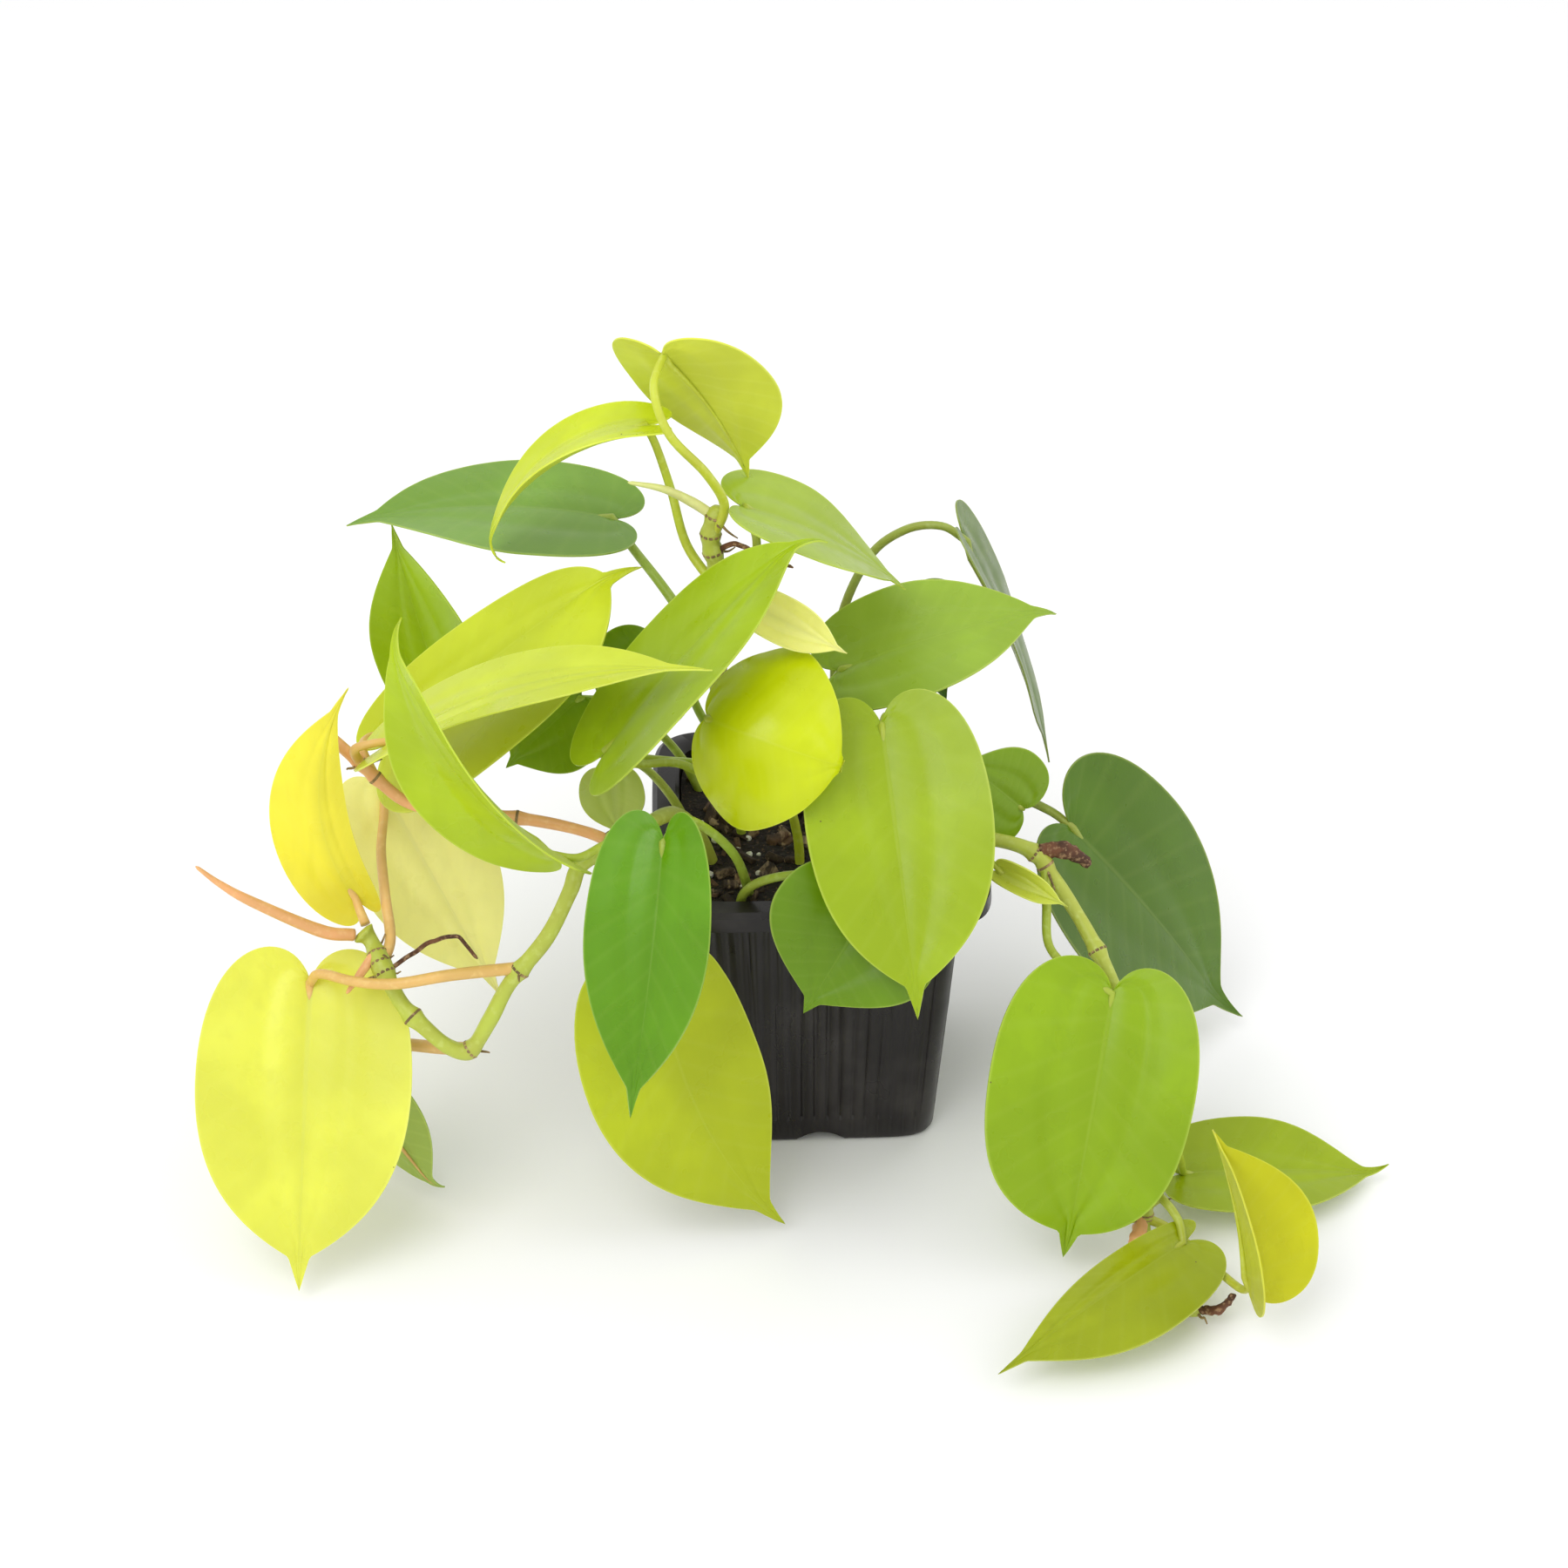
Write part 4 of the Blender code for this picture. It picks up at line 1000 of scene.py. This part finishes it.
def drain_cutter(side):
    """A lying cylinder that cuts one low arch through the wall and the edge of the floor."""
    bm = bmesh.new()
    length = 2 * DRAIN_REACH
    bmesh.ops.create_cone(
        bm, cap_ends=True, segments=DRAIN_SEGMENTS, radius1=DRAIN_RADIUS, radius2=DRAIN_RADIUS, depth=length
    )
    turn = side * math.pi / 2
    out = POT_FOOT_WIDTH / 2
    spot = Vector((math.sin(turn) * out, -math.cos(turn) * out, DRAIN_HEIGHT - DRAIN_RADIUS))
    tilt = Matrix.Rotation(turn, 4, "Z") @ Matrix.Rotation(math.pi / 2, 4, "X")
    bmesh.ops.transform(bm, matrix=Matrix.Translation(spot) @ tilt, verts=bm.verts)
    return place("drain_cutter", mesh_from(bm, "drain_cutter"))


def soil_height(x, y, share):
    """Height of the soil's top at a point, in millimetres; share is 1 at the pot's wall."""
    spot = Vector((x, y, 0))
    humps = noise.noise(spot / 13) + 0.45 * noise.noise(spot / 4) + 0.25 * noise.noise(spot / 1.7)
    return POT_HEIGHT - SOIL_BELOW_RIM + settings("soil").bump / MM * humps * (1.15 - share)


def fill_soil():
    """The potting mix: a closed block whose top is humped and crumbly."""
    segments = fineness(SOIL_SEGMENTS)
    inset = bottom = POT_WALL + SOIL_GAP
    top = POT_HEIGHT - SOIL_BELOW_RIM
    bm = bmesh.new()
    rings = [square_ring(bm, pot_half_width(bottom) - inset - FOOT_ROUND, bottom, segments)]
    for share in np.linspace(1, 0.02, fineness(SOIL_RINGS)):
        ring = square_ring(bm, (pot_half_width(top) - inset) * share, top, segments)
        for vert in {vert for edge in ring for vert in edge.verts}:
            vert.co.z = soil_height(vert.co.x, vert.co.y, share)
        rings.append(ring)
    bmesh.ops.contextual_create(bm, geom=rings[0])
    bmesh.ops.contextual_create(bm, geom=rings[-1])
    for outer, inner in zip(rings, rings[1:]):
        bmesh.ops.bridge_loops(bm, edges=outer + inner)
    piece("potting_soil", (mesh_from(bm, "potting_soil"),), (peat_finish(),), "potting_mix", "soil")


def scattered(rng, count, size, reach, make):
    """One mesh of small shapes laid at random over the soil's top."""
    bm = bmesh.new()
    for _ in range(count):
        x, y = rng.uniform(-reach, reach), rng.uniform(-reach, reach)
        width = size / MM * rng.uniform(0.4, 1.5)
        verts = make(bm, rng, width)
        share = max(abs(x), abs(y)) / reach
        spin = Matrix.Rotation(rng.uniform(0, math.tau), 4, "Z")
        tip = Matrix.Rotation(rng.uniform(-0.5, 0.5), 4, (rng.uniform(-1, 1), rng.uniform(-1, 1), 0))
        spot = Matrix.Translation((x, y, soil_height(x, y, share) + width * 0.08))
        bmesh.ops.transform(bm, matrix=spot @ spin @ tip, verts=verts)
    return mesh_from(bm, "scattered")


def chip_shape(bm, rng, width):
    """A flat splinter of bark with uneven corners."""
    verts = bmesh.ops.create_cube(bm, size=1)["verts"]
    deep, thick = rng.uniform(0.3, 0.7), rng.uniform(0.15, 0.35)
    for vert in verts:
        vert.co.x *= width * rng.uniform(0.7, 1.1)
        vert.co.y *= width * deep * rng.uniform(0.7, 1.2)
        vert.co.z *= width * thick * rng.uniform(0.7, 1.2)
    edges = list({edge for vert in verts for edge in vert.link_edges})
    made = bmesh.ops.bevel(
        bm, geom=edges, offset=width * thick * 0.22, affect="EDGES", segments=1, profile=0.5, material=-1
    )
    return list({vert for face in made["faces"] for vert in face.verts})


def grain_shape(bm, rng, width):
    """A knobbly white grain."""
    verts = bmesh.ops.create_icosphere(bm, subdivisions=2, radius=width / 2)["verts"]
    for vert in verts:
        vert.co *= 1 + 0.25 * noise.noise(vert.co * 3 + Vector((width * 40, 0, 0)))
    return verts


def scatter_mix():
    """Bark chips, dark and light, and white grains on top of the soil."""
    soil = settings("soil")
    rng = random.Random(MIX_SEED)
    reach = pot_half_width(POT_HEIGHT) - POT_WALL - 4
    bark = tuple(soil.bark)
    dark = mixed(bark, BLACK, 0.6)
    pale = mixed(bark, (0.55, 0.40, 0.24), 0.6)
    kinds = (
        ("dark_bark_chips", dark, soil.chips * 3 // 5, soil.chip_size),
        ("brown_bark_chips", bark, soil.chips // 3, soil.chip_size),
        ("pale_wood_chips", pale, soil.chips // 8, soil.chip_size * 0.8),
    )
    for name, colour, count, size in kinds:
        mesh = scattered(rng, count, size, reach, chip_shape)
        piece(name, (mesh,), (bark_finish(name, colour),), "potting_mix")
    grains = scattered(rng, soil.grains, soil.grain_size, reach, grain_shape)
    piece("white_grains", (grains,), (grain_finish(),), "potting_mix")


# Stage


def area_light(name, spot, size, power, target):
    """A square soft light that looks at a point."""
    lamp = bpy.data.lights.new(name, "AREA")
    lamp.size = size
    lamp.energy = power
    made = bpy.data.objects.new(name, lamp)
    bpy.context.scene.collection.objects.link(made)
    made.location = spot
    made.rotation_euler = (Vector(target) - made.location).to_track_quat("-Z", "Y").to_euler()


def set_stage():
    """A wide pale floor, even fill, two large soft lights and the camera."""
    stage = settings("stage")
    bm = bmesh.new()
    bmesh.ops.create_grid(bm, x_segments=1, y_segments=1, size=FLOOR_REACH)
    floor = place("pale_floor", mesh_from(bm, "pale_floor", outward=False), (floor_finish(),))
    world = bpy.data.worlds.new("even_fill")
    world.use_nodes = True
    sky = world.node_tree.nodes["Background"]
    sky.inputs["Color"].default_value = (1, 1, 1, 1)
    sky.inputs["Strength"].default_value = stage.sky
    bpy.context.scene.world = world
    target = Vector(stage.target)
    area_light("key_light", (-0.55, -0.75, 1.25), 0.9, stage.key, target)
    area_light("side_light", (1.1, -0.3, 0.9), 0.7, stage.rim, target)
    back = Vector((
        math.sin(stage.azimuth) * math.cos(stage.elevation),
        -math.cos(stage.azimuth) * math.cos(stage.elevation),
        math.sin(stage.elevation),
    ))
    camera = bpy.data.objects.new("camera", bpy.data.cameras.new("camera"))
    bpy.context.scene.collection.objects.link(camera)
    camera.data.lens = stage.lens
    camera.location = target + back * stage.distance
    camera.rotation_euler = (-back).to_track_quat("-Z", "Y").to_euler()
    bpy.context.scene.camera = camera
    bpy.context.scene.view_settings.view_transform = "Standard"


# Operators


def grow_table(grow, table):
    """Grow every row of a table."""
    for name, row in table.items():
        grow(name, row)


def step_operator(name, label, description, *steps):
    """An operator class that runs some of the steps that make the plant."""

    def execute(self, context):
        for step in steps:
            step()
        return {"FINISHED"}

    fields = {"__doc__": description, "execute": execute, "bl_label": label}
    fields["bl_idname"] = "philodendron." + name
    return type("PHILODENDRON_OT_" + name, (bpy.types.Operator,), fields)


OPERATORS = (
    step_operator("mould_pot", "Mould pot", "Mould the ribbed nursery pot", mould_pot),
    step_operator(
        "fill_soil", "Fill soil", "Fill the pot with soil, bark chips and white grains",
        fill_soil, scatter_mix,
    ),
    step_operator(
        "grow_vines", "Grow vines", "Grow the four vines with their nodes and rootlets",
        partial(grow_table, grow_vine, VINES),
    ),
    step_operator(
        "grow_leaves", "Grow leaves", "Grow every leaf with its petiole",
        partial(grow_table, grow_leaf, LEAVES),
    ),
    step_operator(
        "grow_trim", "Grow shoots and roots", "Grow the shoots, buds, dry sheaths and roots in the air",
        partial(grow_table, grow_trim, TRIM),
    ),
    step_operator("set_stage", "Set stage", "Lay the floor and set the lights and the camera", set_stage),
)


class PHILODENDRON_PT_sidebar(bpy.types.Panel):
    """Lists the steps that make the plant"""

    bl_label = "Potted philodendron"
    bl_idname = "PHILODENDRON_PT_sidebar"
    bl_space_type = "VIEW_3D"
    bl_region_type = "UI"
    bl_category = "Philodendron"

    def draw(self, context):
        for operator in OPERATORS:
            self.layout.operator(operator.bl_idname)


GROUPS = {
    "philodendron_leaves": PHILODENDRON_PG_leaves,
    "philodendron_stems": PHILODENDRON_PG_stems,
    "philodendron_pot": PHILODENDRON_PG_pot,
    "philodendron_soil": PHILODENDRON_PG_soil,
    "philodendron_stage": PHILODENDRON_PG_stage,
}


def register():
    """Register the settings, the operators and the panel."""
    for name, group in GROUPS.items():
        bpy.utils.register_class(group)
        setattr(bpy.types.Scene, name, PointerProperty(type=group))
    for item in (*OPERATORS, PHILODENDRON_PT_sidebar):
        bpy.utils.register_class(item)


def unregister():
    """Take everything that register added away again."""
    for item in reversed((*OPERATORS, PHILODENDRON_PT_sidebar)):
        bpy.utils.unregister_class(item)
    for name, group in reversed(GROUPS.items()):
        delattr(bpy.types.Scene, name)
        bpy.utils.unregister_class(group)


def main():
    """Make the whole plant and its stage."""
    register()
    bpy.ops.philodendron.mould_pot()
    bpy.ops.philodendron.fill_soil()
    bpy.ops.philodendron.grow_vines()
    bpy.ops.philodendron.grow_leaves()
    bpy.ops.philodendron.grow_trim()
    bpy.ops.philodendron.set_stage()


if __name__ == "__main__":
    main()
